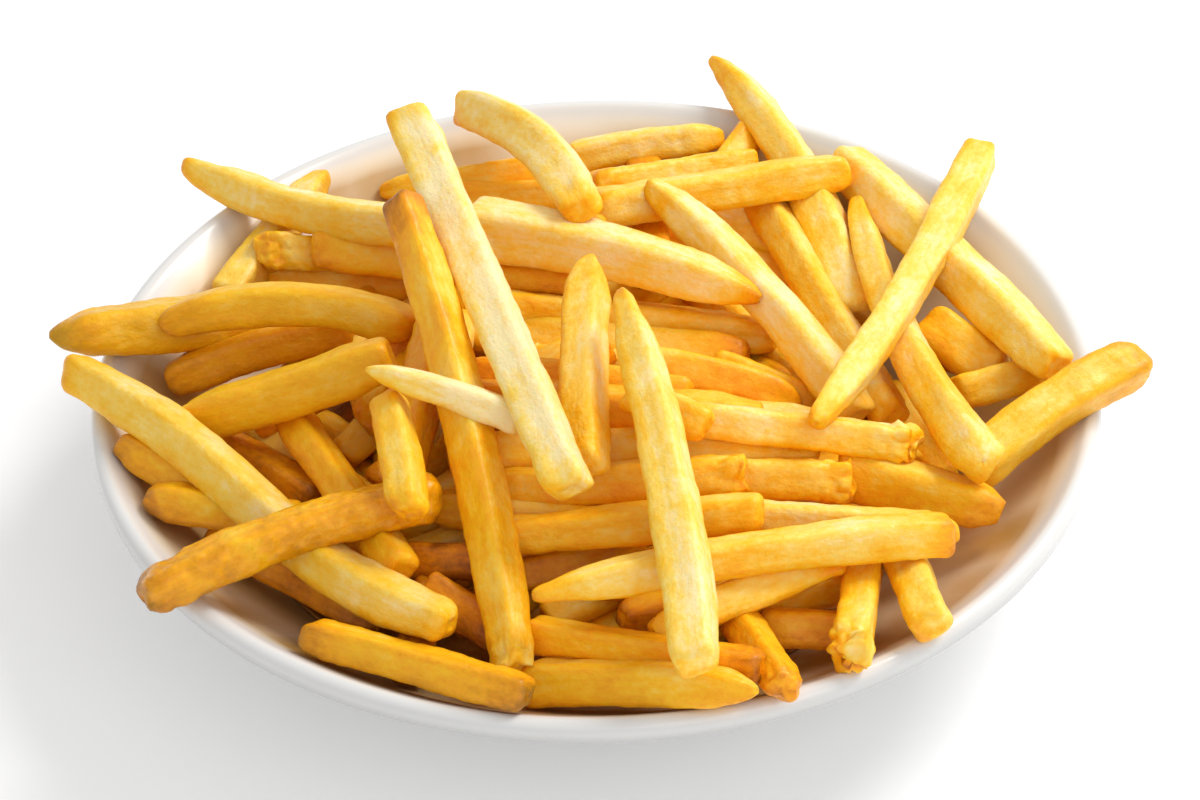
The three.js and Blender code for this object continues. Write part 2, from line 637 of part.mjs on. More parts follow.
// The largest outer shell alone: loose scraps go, and the hollows sealed inside are filled.
function largestShell(manifold) {
  const { vertProperties, triVerts } = manifold.getMesh();
  const shell = shellOf(triVerts, vertProperties.length / 3);
  const shells = new Map();
  const corner = (k) => new THREE.Vector3().fromArray(vertProperties, triVerts[k] * 3);
  for (let k = 0; k < triVerts.length; k += 3) {
    const key = shell(triVerts[k]);
    const found = shells.get(key) ?? { volume: 0, corners: [] };
    found.volume += corner(k).dot(corner(k + 1).cross(corner(k + 2))) / 6;
    found.corners.push(triVerts[k], triVerts[k + 1], triVerts[k + 2]);
    shells.set(key, found);
  }
  const largest = [...shells.values()].reduce((best, next) => (next.volume > best.volume ? next : best));
  const geometry = new THREE.BufferGeometry();
  geometry.setAttribute('position', new THREE.BufferAttribute(new Float32Array(vertProperties), 3));
  geometry.setIndex(largest.corners);
  geometry.computeVertexNormals();
  return geometry;
}

// The mound inside the heap: an egg shape, cut to the inside of the bowl.
function coreManifold() {
  const egg = new THREE.SphereGeometry(1, CORE_SEGMENTS, CORE_SEGMENTS / 2);
  egg.rotateX(Math.PI / 2);
  egg.scale(CORE_RADIUS, CORE_RADIUS, CORE_HEIGHT - CORE_CENTRE);
  egg.translate(PEAK_X, PEAK_Y, CORE_CENTRE);
  const cutter = turned([
    new THREE.Vector2(0, FLOOR_HEIGHT + DISH_GAP),
    ...Array.from({ length: WALL_STEPS }, (_, k) => {
      const radius = FLOOR_RADIUS + (CORE_REACH - FLOOR_RADIUS) * (k / (WALL_STEPS - 1));
      return new THREE.Vector2(radius, wallHeight(radius) + DISH_GAP);
    }),
    new THREE.Vector2(CORE_REACH, PEAK_HEIGHT),
    new THREE.Vector2(0, PEAK_HEIGHT),
  ]);
  return toManifold(egg).intersect(toManifold(cutter));
}

function heapGeometry(fries) {
  const parts = fries.map((fry) => toManifold(fryGeometry(fry)));
  const joined = parts.reduce((sum, part) => sum.add(part), coreManifold());
  return largestShell(joined.subtract(toManifold(turned(bowlProfile(DISH_GAP)))));
}

const laid = settle(LAID.map(prepare)).map((fry) => ({ ...fry, points: fry.shares.map(fry.path) }));
const filling = fill(laid);

const glaze = new THREE.MeshStandardMaterial({ color: '#eeece8', roughness: 0.18, metalness: 0 });
const fried = new THREE.MeshStandardMaterial({ color: '#f0b848', roughness: 0.55, metalness: 0 });

const bowl = new THREE.Mesh(turned(bowlProfile(0)), glaze);
bowl.name = 'bowl';

const fries = new THREE.Mesh(heapGeometry([...laid, ...filling]), fried);
fries.name = 'fries_heap';

const portion = new THREE.Group();
portion.add(bowl, fries);

export default portion;
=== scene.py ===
"""A portion of french fries heaped in its shallow white bowl.

The CAD solids are the frame. This script lays the same fries by the same rules, as real uneven fries with
browned ends, over a low bed that is dark as painted shade, and gives the bowl its smooth glazed form. Sizes
are in millimetres, +Z up, and become metres where a mesh is made.
"""
import math
from itertools import zip_longest

import bpy
import numpy as np
from mathutils import Matrix, Vector
from mathutils.kdtree import KDTree


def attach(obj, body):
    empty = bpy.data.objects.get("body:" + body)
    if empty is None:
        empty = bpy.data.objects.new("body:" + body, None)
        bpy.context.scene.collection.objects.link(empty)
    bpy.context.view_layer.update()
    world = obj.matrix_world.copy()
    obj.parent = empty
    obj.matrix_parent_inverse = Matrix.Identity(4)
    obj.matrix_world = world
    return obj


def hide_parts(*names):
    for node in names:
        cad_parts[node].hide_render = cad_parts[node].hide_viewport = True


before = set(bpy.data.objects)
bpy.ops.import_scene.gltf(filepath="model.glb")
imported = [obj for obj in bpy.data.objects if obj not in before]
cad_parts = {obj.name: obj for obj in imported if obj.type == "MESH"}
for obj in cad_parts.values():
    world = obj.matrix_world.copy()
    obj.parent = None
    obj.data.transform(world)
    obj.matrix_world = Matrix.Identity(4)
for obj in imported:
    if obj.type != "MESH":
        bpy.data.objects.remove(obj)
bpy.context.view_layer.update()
MM = 0.001

# Bowl
RIM_RADIUS = 105.0
RIM_HEIGHT = 40.0
RIM_WALL = 4.4
RIM_SIDE = 2.4
RIM_TUCK = 0.3
UNDER_INSET = 1.0
UNDER_POWER = 1.25
FOOT_RADIUS = 50.0
FOOT_HEIGHT = 3.0
FOOT_FLARE = 2.0
FOOT_ROUND = 0.6
FLOOR_HEIGHT = 7.5
FLOOR_RADIUS = 42.0
WALL_POWER = 1.45
WALL_LEAN = 0.78
INNER_RADIUS = RIM_RADIUS - RIM_WALL
LIP_RADIUS = RIM_WALL / 2

# Heap: the dome that the fries follow, and the core inside it
PEAK = np.array([-4.0, -10.0])
PEAK_HEIGHT = 76.0
DOME_RADIUS = 96.0
DOME_EDGE = 36.0
CORE_RADIUS = 84.0
CORE_HEIGHT = 38.0
CORE_CENTRE = 10.0
CORE_SINK = 0.4
DISH_GAP = 0.35
OUTLINE_STEP = 0.5
OUTLINE_TURN = 0.25

# A fry
LONGEST = 116.0
TAPER = 0.22  # share of the length over which a tip narrows
TOUCH = 0.423  # reach of a fry to each side, as a share of its width
FLOOR_CLEAR = 0.4
TURN_GROWTH = 0.3  # how much wider a fry on its edge shows

# The photograph's line of sight, along which the fries are laid out
SIGHT_RISE = math.radians(38.6)
SIGHT_ROLL = math.radians(1.43)
SIGHT_DISTANCE = 850.0
SIGHT_AIM = np.array([0.9, 0.0, 35.1])
NEAREST, DEEPEST = 730.0, 990.0

# Settling: in each round the fries sink a little and are then pushed apart
SAMPLES = 17  # points along a fry
ROUNDS = 500
SWEEPS = 3
PULL = 1.2  # how far a fry sinks in the first round
PULL_ENDS = 0.8  # share of the rounds in which they sink
EASE = 0.04
LEVEL_LEAN = 0.3
LEAST_LEAN = 0.3
FREE_LEAN = 0.5
STACK = 0.85  # share of their full room that crossing fries keep
HIDDEN_STACK = 0.5  # share of that where a third fry covers the crossing
COVER = 0.8
SLANT_LIMIT = 0.3
CEILING_GAP = 8.0
CEILING_SHARE = 0.1
STEP_OVER = 1.6

# Filling: the tries of each pass, how far below the dome, and how far apart in mean sides
FILL_PASSES = [(4200, np.arange(5.0, 33.0, 2.0), 0.6), (2500, np.arange(25.0, 49.0, 4.0), 0.5)]
FILL_RADIUS = 84.0
FILL_LENGTHS = (42.0, 84.0)
FILL_SIDES = (8.2, 10.2)
FILL_TIPS = (0.6, 0.95)
FILL_ROUND = 0.7  # share by which the outer ones turn to lie along the rim
FILL_SHADE = 10.0  # how far from a laid fry it may be seen
FILL_SEED = 20261
DRAW_FACTOR, DRAW_STEP, DRAW_SIZE = 1664525, 1013904223, 2**32

# Each laid fry as the camera sees it, from the lowest to the topmost: where its two ends are, across and up
# from the aim, the width it shows, its bow, the share of its width at each tip, the turn of its edge in
# degrees and the share by which it widens; then how fried it is, how browned its two ends are, how olive it
# is, how crumbly its two ends are, how blistered its crust is, and its sway. Last zeros are left out.
LAID = [
    # The under and deep fries lie in the gaps, and their high tints are painted shade there
    ("under_front_left", -40, -56.5, -34, -36, 9, 0, 1, 1, 0, 0, 0.74, 0.2, 0.2),
    ("under_right", 82, 8, 52, 15, 8.5, 0, 1, 1, 0, 0, 0.66, 0.2, 0.2),
    ("under_back", 9, 52, 11, 26, 8.5, 0, 1, 1, 0, 0, 0.66, 0.2, 0.2),
    ("deep_left", -84, -7, -58, -22, 10.5, 0, 1, 1, 20, 0, 0.78, 0.2, 0.2, 0.1),
    ("deep_left_low", -82, -28, -46, -47, 7.5, 0, 0.8, 0.8, 0, 0, 0.78, 0.3, 0.3, 0.1),
    ("deep_gap", -46, -33, -24, -34, 8, 0, 1, 1, 0, 0, 0.76, 0.2, 0.2),
    ("deep_front", -36, -40, -20, -49, 9, 0, 1, 1, 0, 0, 0.72, 0.2, 0.2),
    ("deep_middle", -18, -37, 10, -31, 7, 0, 1, 1, 0, 0, 0.55, 0.2, 0.2),
    ("deep_front_right", 34, -47.5, 54, -48.5, 8.5, 0, 1, 1, 0, 0, 0.55, 0.2, 0.2),
    ("deep_centre_right", 24, 8, 46, -0.5, 6, 0, 1, 0.7, 0, 0, 0.42, 0.2, 0.2),
    ("deep_right", 60, 2, 73, -17, 7, 0, 1, 0.8, 0, 0, 0.42, 0.2, 0.2),
    ("deep_back_left", -70, 27, -38, 24, 7, 0, 1, 1, 0, 0, 0.4, 0.2, 0.2),
    ("left_upright", -57.5, 47.5, -78.5, 21, 9, 0, 0.4, 1, 30, 0, 0.34, 0.3, 0.1, 0.1),
    ("left_stub", -100, -8.5, -72, -28, 8, 0, 0.7, 1, 10, 0, 0.5, 0.4, 0.2, 0.2),
    ("back_flat", -46, 43.5, -12, 48, 6.5, 0, 0.5, 1, 0, 0, 0.36, 0.3, 0.2, 0, 0, 0, 0.3),
    ("back_skyline", -6, 50.5, 26, 54.8, 7.5, 0.8, 1, 0.45, 10, 0, 0.34, 0.1, 0.3),
    ("right_tucked", 68, 16.5, 83, 5, 9.5, 0, 0.8, 1, 0, 0, 0.4, 0.1, 0.1),
    ("right_orange", 74, 1, 97, 7.3, 8, 0, 1, 0.5, 0, 0, 0.4, 0.2, 0.3),
    ("right_overhang", 113.5, 9, 78, -14, 12, -1.4, 0.8, 1, 25, 0, 0.46, 0.5, 0.1, 0.35, 0.2, 0, 0.2),
    ("left_spotted", -72, 31.5, -50, 30, 8, 0, 0.8, 1, 0, 0, 0.36, 0.35, 0.1, 0.1, 0.7, 0, 0.7),
    ("left_browned_low", -95, -20.5, -62, -26, 9.5, 0, 0.5, 1, 15, 0, 0.52, 0.8, 0.2, 0.2, 0.2, 0, 0.5),
    ("left_overhang", -115, 13.5, -72, 18, 12, -0.5, 0.15, 1, 15, 0.25, 0.38, 1, 0.1, 0.6, 0, 0, 0.4),
    ("back_shaded", -33, 42.5, -3, 42.5, 6.5, 0, 1, 1, 0, 0, 0.45, 0.1, 0.1),
    ("right_broad", 50.5, 50.5, 95.5, 6.5, 12.4, 0.3, 0.85, 0.75, 30, 0, 0.23, 0.3, 0.2),
    ("back_stub", 25, 47, 33.5, 58, 7, 0, 1, 0.8, 0, 0, 0.5, 0.3, 0.4),
    ("back_horn", 23.5, 71.5, 53, 16, 10.5, 4.8, 0.35, 1, 20, 0.35, 0.26, 0.4, 0.1),
    ("right_pointed", 50, -14.5, 84, -23.5, 12, 0, 1, 0.5, 20, -0.2, 0.44, 0.2, 0.4),
    ("middle_mottled", 20, -16, 53.5, -17, 8.5, 0, 1, 0.8, 5, 0, 0.36, 0.1, 0.3, 0, 0, 0.8),
    ("front_leaning", 29, -45.5, 39, -60.5, 9.5, 0, 1, 0.9, 25, 0, 0.42, 0.2, 0.4, 0, 0, 0.5),
    ("front_right_low", 63, -32, 69.5, -47.5, 9.8, 0, 1, 0.9, 10, 0, 0.34, 0.2, 0.3, 0, 0, 0.2),
    ("front_broken", 55, -33, 52.5, -54, 9.5, 0, 1, 0.9, 15, 0, 0.34, 0.3, 0.35, 0, 0, 1.2),
    ("middle_blunt", -23, -18.5, 31.5, -15.5, 9.5, 0, 1, 0.9, 10, 0, 0.4, 0.2, 0.3, 0, 0, 0.7),
    ("left_shaded", -90.5, 3.5, -52, 15, 9.5, 1.5, 0.8, 1, 15, 0, 0.5, 0.3, 0.1, 0.3),
    ("back_left_low", -60, 31.5, -26, 27.5, 8.5, 0, 0.8, 1, 0, 0, 0.44, 0.2, 0.1),
    ("back_grainy", -2, 44.3, 33, 49.5, 6.8, 0, 1, 0.9, 0, 0, 0.4, 0.1, 0.2, 0, 0, 0.2, 0.5),
    ("right_inner", 34, 42, 61, -4.5, 9.5, 0, 1, 0.9, 25, 0, 0.32, 0.2, 0.2),
    ("right_slender", 53.5, 42.5, 80, -13, 9, -3.8, 0.5, 1.1, 20, 0.4, 0.3, 0.4, 0.1),
    ("middle_right_low", 8, 6.8, 42, -1, 8.5, 1.5, 1, 0.4, 0, -0.2, 0.42, 0.1, 0.3),
    ("middle_left_small", -22, 25.8, -1, 24, 5.5, 0, 1, 1, 0, 0, 0.45, 0.1, 0.1),
    ("middle_long", -24, 19.3, 37, 13.2, 9.5, 0, 1, 0.7, 10, 0, 0.38, 0.1, 0.2),
    ("front_right_slant", 50, -33, 11, -48.5, 9, 0, 1, 0.6, 10, 0, 0.42, 0.2, 0.3),
    ("front_ringed", -15, -48.5, 34, -56.2, 8.5, 0, 1, 0.9, 15, 0, 0.45, 0.2, 0.8, 0, 0, 0.3),
    ("front_rim", -15, -59.3, 33, -60.7, 9.6, 0.8, 1, 0.3, 10, -0.15, 0.4, 0.1, 0.1, 0.15),
    ("middle_right", 28, -24, 75, -27.5, 8, 0, 1, 0.8, 10, 0, 0.34, 0.1, 0.2),
    ("middle_left_low", -20, -28.5, 34, -23.5, 9.5, 0, 1, 0.9, 10, 0, 0.4, 0.1, 0.2),
    ("left_crossing", -64.5, -3.5, -41.5, -36, 9, 0, 1, 0.9, 20, 0, 0.48, 0.2, 0.2, 0.1),
    ("left_olive", -91.5, 15.5, -38.5, 14.5, 10.2, 5, 0.7, 0.85, 15, 0, 0.4, 0.6, 0.3, 0.45),
    ("left_horn", -87, 49.5, -36, 36.5, 9.5, -3.5, 0.45, 1, 15, 0.15, 0.3, 0.6, 0.1, 0.1),
    ("back_right", -2, 39.8, 51.5, 47.8, 9.5, 0, 1, 0.75, 15, 0, 0.32, 0.2, 0.3, 0, 0, 0.2),
    ("right_cream", 10.5, 45, 54, -3.5, 10.5, 2.4, 0.5, 0.8, 35, 0.15, 0.17, 0.8, 0.2),
    ("middle_crumbly", 12, -3, 66.3, -9.5, 8, 0, 1, 0.85, 5, 0, 0.32, 0.1, 0.4, 0, 0, 1, 0.3),
    ("front_left", -61.5, -49, -14.5, -61.8, 9.2, 0, 0.9, 0.9, 15, 0, 0.56, 0.5, 0.7, 0.3, 0.2, 0.2, 0.3),
    ("front_long", -14, -41, 74, -28.3, 9.6, 2.3, 0.25, 0.85, 15, 0.15, 0.3, 0.5, 0.7, 0, 0, 0.1),
    ("left_bevelled", -87, -4.5, -43.5, 9.3, 11.8, -0.8, 0.7, 0.8, 15, 0, 0.36, 0.3, 0.2, 0.4),
    ("left_long", -111, 6.5, -31, -47, 11.6, -2, 0.8, 0.85, 20, 0, 0.3, 0.4, 0.2, 0.3, 0, 0, 0, 2.5),
    ("centre_broad", -28, 36, 33.5, 21, 12.6, 2.2, 1, 0.25, 25, -0.35, 0.22, 0.1, 0.9),
    ("left_browned", -95.5, -41.5, -33, -20, 11.6, 3, 0.85, 1, 20, 0, 0.56, 0.7, 0.3, 0.3, 0.3, 0, 1),
    ("centre_stub", 7, 1, 22.5, -6, 8, 0, 1, 0.8, 0, 0, 0.34, 0.1, 0.2),
    ("centre_peak", -1.8, 30, -2.5, -15, 11, -1.2, 0.3, 0.9, 30, 0, 0.32, 0.6, 0.2),
    ("left_short", -44.8, 1, -40, -24, 9.5, 0.8, 0.9, 0.9, 20, 0, 0.44, 0.1, 0.3, 0.1, 0, 0.2),
    ("left_tall", -41.5, 42, -18, -57, 11, 2.5, 0.8, 0.8, 35, 0, 0.43, 0.9, 0.1, 0.1, 0.1, 0.8, 0.3),
    ("back_bent", -28.5, 61, -4, 39.5, 10.5, 4.3, 0.75, 0.8, 10, 0, 0.21, 0.4, 0.3),
    ("centre_tall", 4.3, 23, 20, -56, 11, 2.4, 0.35, 0.85, 20, 0.3, 0.25, 0.7, 0.2),
    ("right_top", 80, 53, 44.8, -5, 8.8, 2.2, 0.8, 0.6, 20, -0.35, 0.27, 0.5, 0.2),
    ("thin_pale", -49, 6.5, -15, -5, 7, 0.7, 0.35, 1, 10, 0.25, 0.08, 0.7, 0.2),
    ("top_pale", -39.5, 58.5, -6, -19, 10, 0, 0.9, 0.9, 10, 0, 0.1, 0.4, 0.2),
]

FORWARD = np.array([0.0, math.cos(SIGHT_RISE), -math.sin(SIGHT_RISE)])
SIDEWAYS = np.array([1.0, 0.0, 0.0])
OVERHEAD = np.cross(SIDEWAYS, FORWARD)
ACROSS = SIDEWAYS * math.cos(SIGHT_ROLL) - OVERHEAD * math.sin(SIGHT_ROLL)
UPWARD = SIDEWAYS * math.sin(SIGHT_ROLL) + OVERHEAD * math.cos(SIGHT_ROLL)
EYE = SIGHT_AIM - FORWARD * SIGHT_DISTANCE
SHARES = np.linspace(0.0, 1.0, SAMPLES)
HALFWAY = np.array([0.5])
DEPTHS = np.arange(NEAREST, DEEPEST, 1.0)


def place(across, up, depth):
    """The points seen at (across, up) that lie at a depth along the line of sight."""
    across, up, depth = (np.asarray(x, float)[..., None] for x in (across, up, depth))
    return EYE + FORWARD * depth + (ACROSS * across + UPWARD * up) * depth / SIGHT_DISTANCE


def sight(points):
    """Where points are seen, and how deep they lie."""
    away = points - EYE
    depth = away @ FORWARD
    share = SIGHT_DISTANCE / depth
    return away @ ACROSS * share, away @ UPWARD * share, depth


# --- what the fries rest on ---


def wall_height(radius):
    share = np.maximum(0.0, (radius - FLOOR_RADIUS) / (INNER_RADIUS - FLOOR_RADIUS))
    return FLOOR_HEIGHT + (RIM_HEIGHT - LIP_RADIUS - FLOOR_HEIGHT) * share**WALL_POWER


def dome_height(x, y):
    share = np.hypot(x - PEAK[0], y - PEAK[1]) / DOME_RADIUS
    return PEAK_HEIGHT - (PEAK_HEIGHT - DOME_EDGE) * share**2


def core_height(x, y):
    """Height of the core that the lowest fries settle on, and 0 beside it."""
    share = np.hypot(x - PEAK[0], y - PEAK[1]) / CORE_RADIUS
    top = CORE_CENTRE + (CORE_HEIGHT - CORE_CENTRE) * np.sqrt(np.maximum(0.0, 1 - share**2))
    return np.where(share < 1, top, 0.0)


def resting_outline():
    """Outline of the bowl's inside and lip, as close points: their radii and their heights."""
    radius = np.arange(0.0, INNER_RADIUS, OUTLINE_STEP)
    turn = np.arange(math.pi, 0.0, -OUTLINE_TURN)
    out = RIM_RADIUS - LIP_RADIUS + LIP_RADIUS * np.cos(turn)
    high = RIM_HEIGHT - LIP_RADIUS + LIP_RADIUS * np.sin(turn)
    return np.concatenate([radius, out]), np.concatenate([wall_height(radius), high])


def floor_depths(across, up, reach):
    """How deep a ball goes along each line of sight before it touches the bowl or settles on the core."""
    outline = resting_outline()
    found = np.full(across.shape, np.inf)
    for at in np.ndindex(across.shape):
        x, y, z = place(across[at], up[at], DEPTHS).T
        radius = np.hypot(x, y)
        away = np.hypot(outline[0] - radius[:, None], outline[1] - z[:, None]).min(1)
        hit = (z - core_height(x, y) < reach[at] * CORE_SINK) | (away < reach[at])
        if hit.any():
            found[at] = DEPTHS[hit.argmax()]
    return found


def dome_depths(across, up):
    """How deep the dome lies along each line of sight, or where the line passes nearest above it."""
    points = place(across[..., None], up[..., None], DEPTHS)
    above = points[..., 2] - dome_height(points[..., 0], points[..., 1])
    inside = above <= 0
    return np.where(inside.any(-1), DEPTHS[inside.argmax(-1)], DEPTHS[above.argmin(-1)])


# --- laying the fries ---


class Laid:
    """The laid fries, one row of every array each."""

    def __init__(self, rows):
        self.name, *columns = zip_longest(*rows, fillvalue=0)
        (
            across0, up0, across1, up1, width, self.bow, self.tip0, self.tip1, turn, self.widening,
            self.tint, brown0, brown1, self.olive, rough0, rough1, self.blistered, self.sway,
        ) = np.array(columns, float)
        self.end0, self.end1 = np.stack([across0, up0], -1), np.stack([across1, up1], -1)
        self.brown, self.rough = np.stack([brown0, brown1], -1), np.stack([rough0, rough1], -1)
        self.turn = np.radians(turn)
        self.side = width / (1 + TURN_GROWTH * np.sin(2 * self.turn))
        self.length = np.hypot(*(self.end1 - self.end0).T)
        self.across, self.up = self.seen_at(SHARES)
        self.reach = width[:, None] * TOUCH * tip_scale(self.tip0[:, None], self.tip1[:, None], SHARES)
        self.dome = dome_depths(self.across, self.up)
        self.floor = floor_depths(self.across, self.up, self.reach + FLOOR_CLEAR)
        middle = self.dome.mean(1)
        offset = SHARES - 0.5
        slope = (offset * (self.dome - middle[:, None])).sum(1) / (offset**2).sum()
        self.steepest = np.sqrt(np.maximum(LONGEST**2 - self.length**2, (LEAST_LEAN * self.length) ** 2))
        level = (self.end1 - self.end0)[:, 1] / math.tan(SIGHT_RISE)
        slope = np.clip(slope, level - LEVEL_LEAN * self.length, level + LEVEL_LEAN * self.length)
        self.lean = np.clip(slope, -self.steepest, self.steepest)
        self.depth0, self.depth1 = middle - self.lean / 2, middle + self.lean / 2

    def seen_at(self, t):
        """Where the points at shares t of each fry are seen, across and up."""
        way = self.end1 - self.end0
        length = self.length[:, None]
        aside = self.bow[:, None] * 4 * t * (1 - t) + self.sway[:, None] * np.sin(2 * np.pi * t)
        across = self.end0[:, :1] + way[:, :1] * t - way[:, 1:] / length * aside
        up = self.end0[:, 1:] + way[:, 1:] * t + way[:, :1] / length * aside
        return across, up

    def depths(self, t=SHARES):
        """How deep those points lie along the line of sight."""
        return self.depth0[:, None] * (1 - t) + self.depth1[:, None] * t


def tip_scale(tip0, tip1, t):
    """Share of its width that a fry has at t, from the shares at its tips."""
    first = tip0 + (1 - tip0) * np.sin(np.pi / 2 * np.minimum(t / TAPER, 1))
    last = tip1 + (1 - tip1) * np.sin(np.pi / 2 * np.minimum((1 - t) / TAPER, 1))
    return first * last


def crossings(laid):
    """Where one fry is seen over another: the two fries, the place on each, and the room needed."""
    found = []
    count = len(laid.length)
    for low in range(count):
        for high in range(low + 1, count):
            reach = laid.reach[high][:, None] + laid.reach[low]
            gap_across = laid.across[high][:, None] - laid.across[low]
            gap_up = laid.up[high][:, None] - laid.up[low]
            space = reach**2 - gap_across**2 - gap_up**2
            for k in np.nonzero(space.max(1) > 0)[0]:
                m = space[k].argmax()
                above = slice(high + 1, None)
                off = np.hypot(laid.across[above] - laid.across[high, k], laid.up[above] - laid.up[high, k])
                covered = (off < laid.reach[above] * COVER).any()
                share = HIDDEN_STACK if covered else 1.0
                found.append((high, low, SHARES[k], SHARES[m], math.sqrt(space[k, m]) * share))
    over, under, s, t, room = np.array(found).T
    return over.astype(int), under.astype(int), s, t, room


def sweep(laid, crossed):
    """Moves every crossing apart at once, each fry by the mean of what its crossings ask."""
    over, under, s, t, room = crossed
    steep = ((laid.depth1 - laid.depth0) / laid.length) ** 2
    slant = np.sqrt(1 + np.minimum(np.maximum(steep[over], steep[under]), SLANT_LIMIT))
    depth_under = laid.depth0[under] * (1 - t) + laid.depth1[under] * t
    depth_over = laid.depth0[over] * (1 - s) + laid.depth1[over] * s
    short = np.maximum(room * slant * STACK - (depth_under - depth_over), 0)
    each = short / ((1 - s) ** 2 + s**2 + (1 - t) ** 2 + t**2)
    move0, move1, count = (np.zeros(len(laid.length)) for _ in range(3))
    np.add.at(move0, over, -each * (1 - s))
    np.add.at(move1, over, -each * s)
    np.add.at(move0, under, each * (1 - t))
    np.add.at(move1, under, each * t)
    np.add.at(count, over, short > 0)
    np.add.at(count, under, short > 0)
    laid.depth0 += STEP_OVER * move0 / np.maximum(count, 1)
    laid.depth1 += STEP_OVER * move1 / np.maximum(count, 1)


def keep_lean(laid):
    """Keeps every fry near its own lean, and none steeper than its length allows."""
    middle = (laid.depth0 + laid.depth1) / 2
    free = FREE_LEAN * laid.length
    lean = np.clip(laid.depth1 - laid.depth0, laid.lean - free, laid.lean + free)
    lean = np.clip(lean, -laid.steepest, laid.steepest)
    laid.depth0, laid.depth1 = middle - lean / 2, middle + lean / 2


def keep_above_floor(laid):
    """Lifts every fry out of the bowl and the core."""
    for k, t in enumerate(SHARES):
        over = np.maximum(laid.depth0 * (1 - t) + laid.depth1 * t - laid.floor[:, k], 0)
        size = (1 - t) ** 2 + t**2
        laid.depth0 -= over * (1 - t) / size
        laid.depth1 -= over * t / size


def keep_under_ceiling(laid):
    """Presses down the fries that come closer to the dome than its gap."""
    high = np.maximum(laid.dome + CEILING_GAP - laid.depths(), 0) * CEILING_SHARE
    size = (1 - SHARES) ** 2 + SHARES**2
    laid.depth0 += (high * (1 - SHARES) / size).max(1)
    laid.depth1 += (high * SHARES / size).max(1)


def settle(laid):
    """Lets the fries sink towards the bowl until each rests on what is seen under it."""
    crossed = crossings(laid)
    for step in range(ROUNDS):
        pull = PULL * max(0.0, 1 - step / (ROUNDS * PULL_ENDS))
        ease = EASE * (laid.depth1 - laid.depth0 - laid.lean)
        laid.depth0 += pull + ease
        laid.depth1 += pull - ease
        keep_under_ceiling(laid)
        for _ in range(SWEEPS):
            sweep(laid, crossed)
            keep_lean(laid)
            keep_above_floor(laid)


# --- filling the heap ---


def seeded_draw(seed):
    """The small seeded draw, evenly spread from 0 to 1."""
    state = seed
    while True:
        state = (state * DRAW_FACTOR + DRAW_STEP) % DRAW_SIZE
        yield state / DRAW_SIZE


def mixed(span, share):
    return span[0] + (span[1] - span[0]) * share


class Straight:
    """A straight fry that lies along the dome, before it is sunk into the heap."""

    def __init__(self, draw):
        share = math.sqrt(next(draw))
        radius = FILL_RADIUS * share
        angle = 2 * math.pi * next(draw)
        heading = angle + math.pi / 2 + math.pi * (next(draw) - 0.5) * (1 - FILL_ROUND * share)
        self.length = mixed(FILL_LENGTHS, next(draw))
        self.side = mixed(FILL_SIDES, next(draw))
        off = radius * np.array([math.cos(angle), math.sin(angle)])
        x, y = PEAK + off
        # It follows the dome's slope, lowered by as much as the dome falls away under its ends.
        fall = -2 * (PEAK_HEIGHT - DOME_EDGE) / DOME_RADIUS**2
        rise = fall * (off[0] * math.cos(heading) + off[1] * math.sin(heading))
        way = np.array([math.cos(heading), math.sin(heading), rise])
        self.way = way / np.linalg.norm(way)
        bulge = (self.length / 2 / DOME_RADIUS) ** 2 * (PEAK_HEIGHT - DOME_EDGE)
        self.middle = np.array([x, y, dome_height(x, y) - bulge])
        self.tips = (mixed(FILL_TIPS, next(draw)), mixed(FILL_TIPS, next(draw)))
        self.turn = math.pi / 2 * next(draw)

    def points(self, sink, t=SHARES):
        return self.middle - [0, 0, sink] + np.outer(t - 0.5, self.way) * self.length


def inside_bowl(points, reach):
    """Whether every point keeps its reach from the bowl's inside."""
    radius = np.hypot(points[..., 0], points[..., 1])
    high = (points[..., 2] - wall_height(radius)) * WALL_LEAN
    return ((radius <= INNER_RADIUS - reach) & (high > reach)).all(-1)


def stands_apart(points, room, others):
    """Whether the points keep their room from the middle line of every other fry."""
    away = ((others[:, :, None] - points) ** 2).sum(-1).min((1, 2))
    return (away > room**2).all()


def is_behind(points, reach, laid):
    """Whether every point is seen close to a laid fry, and before none."""
    across, up, depth = sight(points)
    off = (laid.across.ravel() - across[..., None]) ** 2 + (laid.up.ravel() - up[..., None]) ** 2
    before = (off <= reach**2) & (depth[..., None] <= laid.depths().ravel())
    return ((off.min(-1) < FILL_SHADE**2) & ~before.any(-1)).all(-1)


def fill(laid):
    """Fries that fill the heap behind the laid ones: first as high under the dome as each fits, then low."""
    draw = seeded_draw(FILL_SEED)
    others = place(laid.across, laid.up, laid.depths())
    sides = laid.side * (laid.depths(HALFWAY)[:, 0] / SIGHT_DISTANCE)
    filling = []
    for tries, sinks, apart in FILL_PASSES:
        for _ in range(tries):
            fry = Straight(draw)
            reach = fry.side / 2
            sunk = np.stack([fry.points(sink) for sink in sinks])
            free = np.logical_and.accumulate(inside_bowl(sunk, reach + DISH_GAP))
            free[free] &= is_behind(sunk[free][:, [0, SAMPLES // 2, -1]], reach, laid)
            for k in np.nonzero(free)[0]:
                room = (fry.side + sides) / 2 * apart
                if is_behind(sunk[k], reach, laid) and stands_apart(sunk[k], room, others):
                    fry.sink = sinks[k]
                    filling.append(fry)
                    others = np.concatenate([others, sunk[k][None]])
                    sides = np.append(sides, fry.side)
                    break
    return filling


# --- uneven surfaces ---

LATTICE = 32


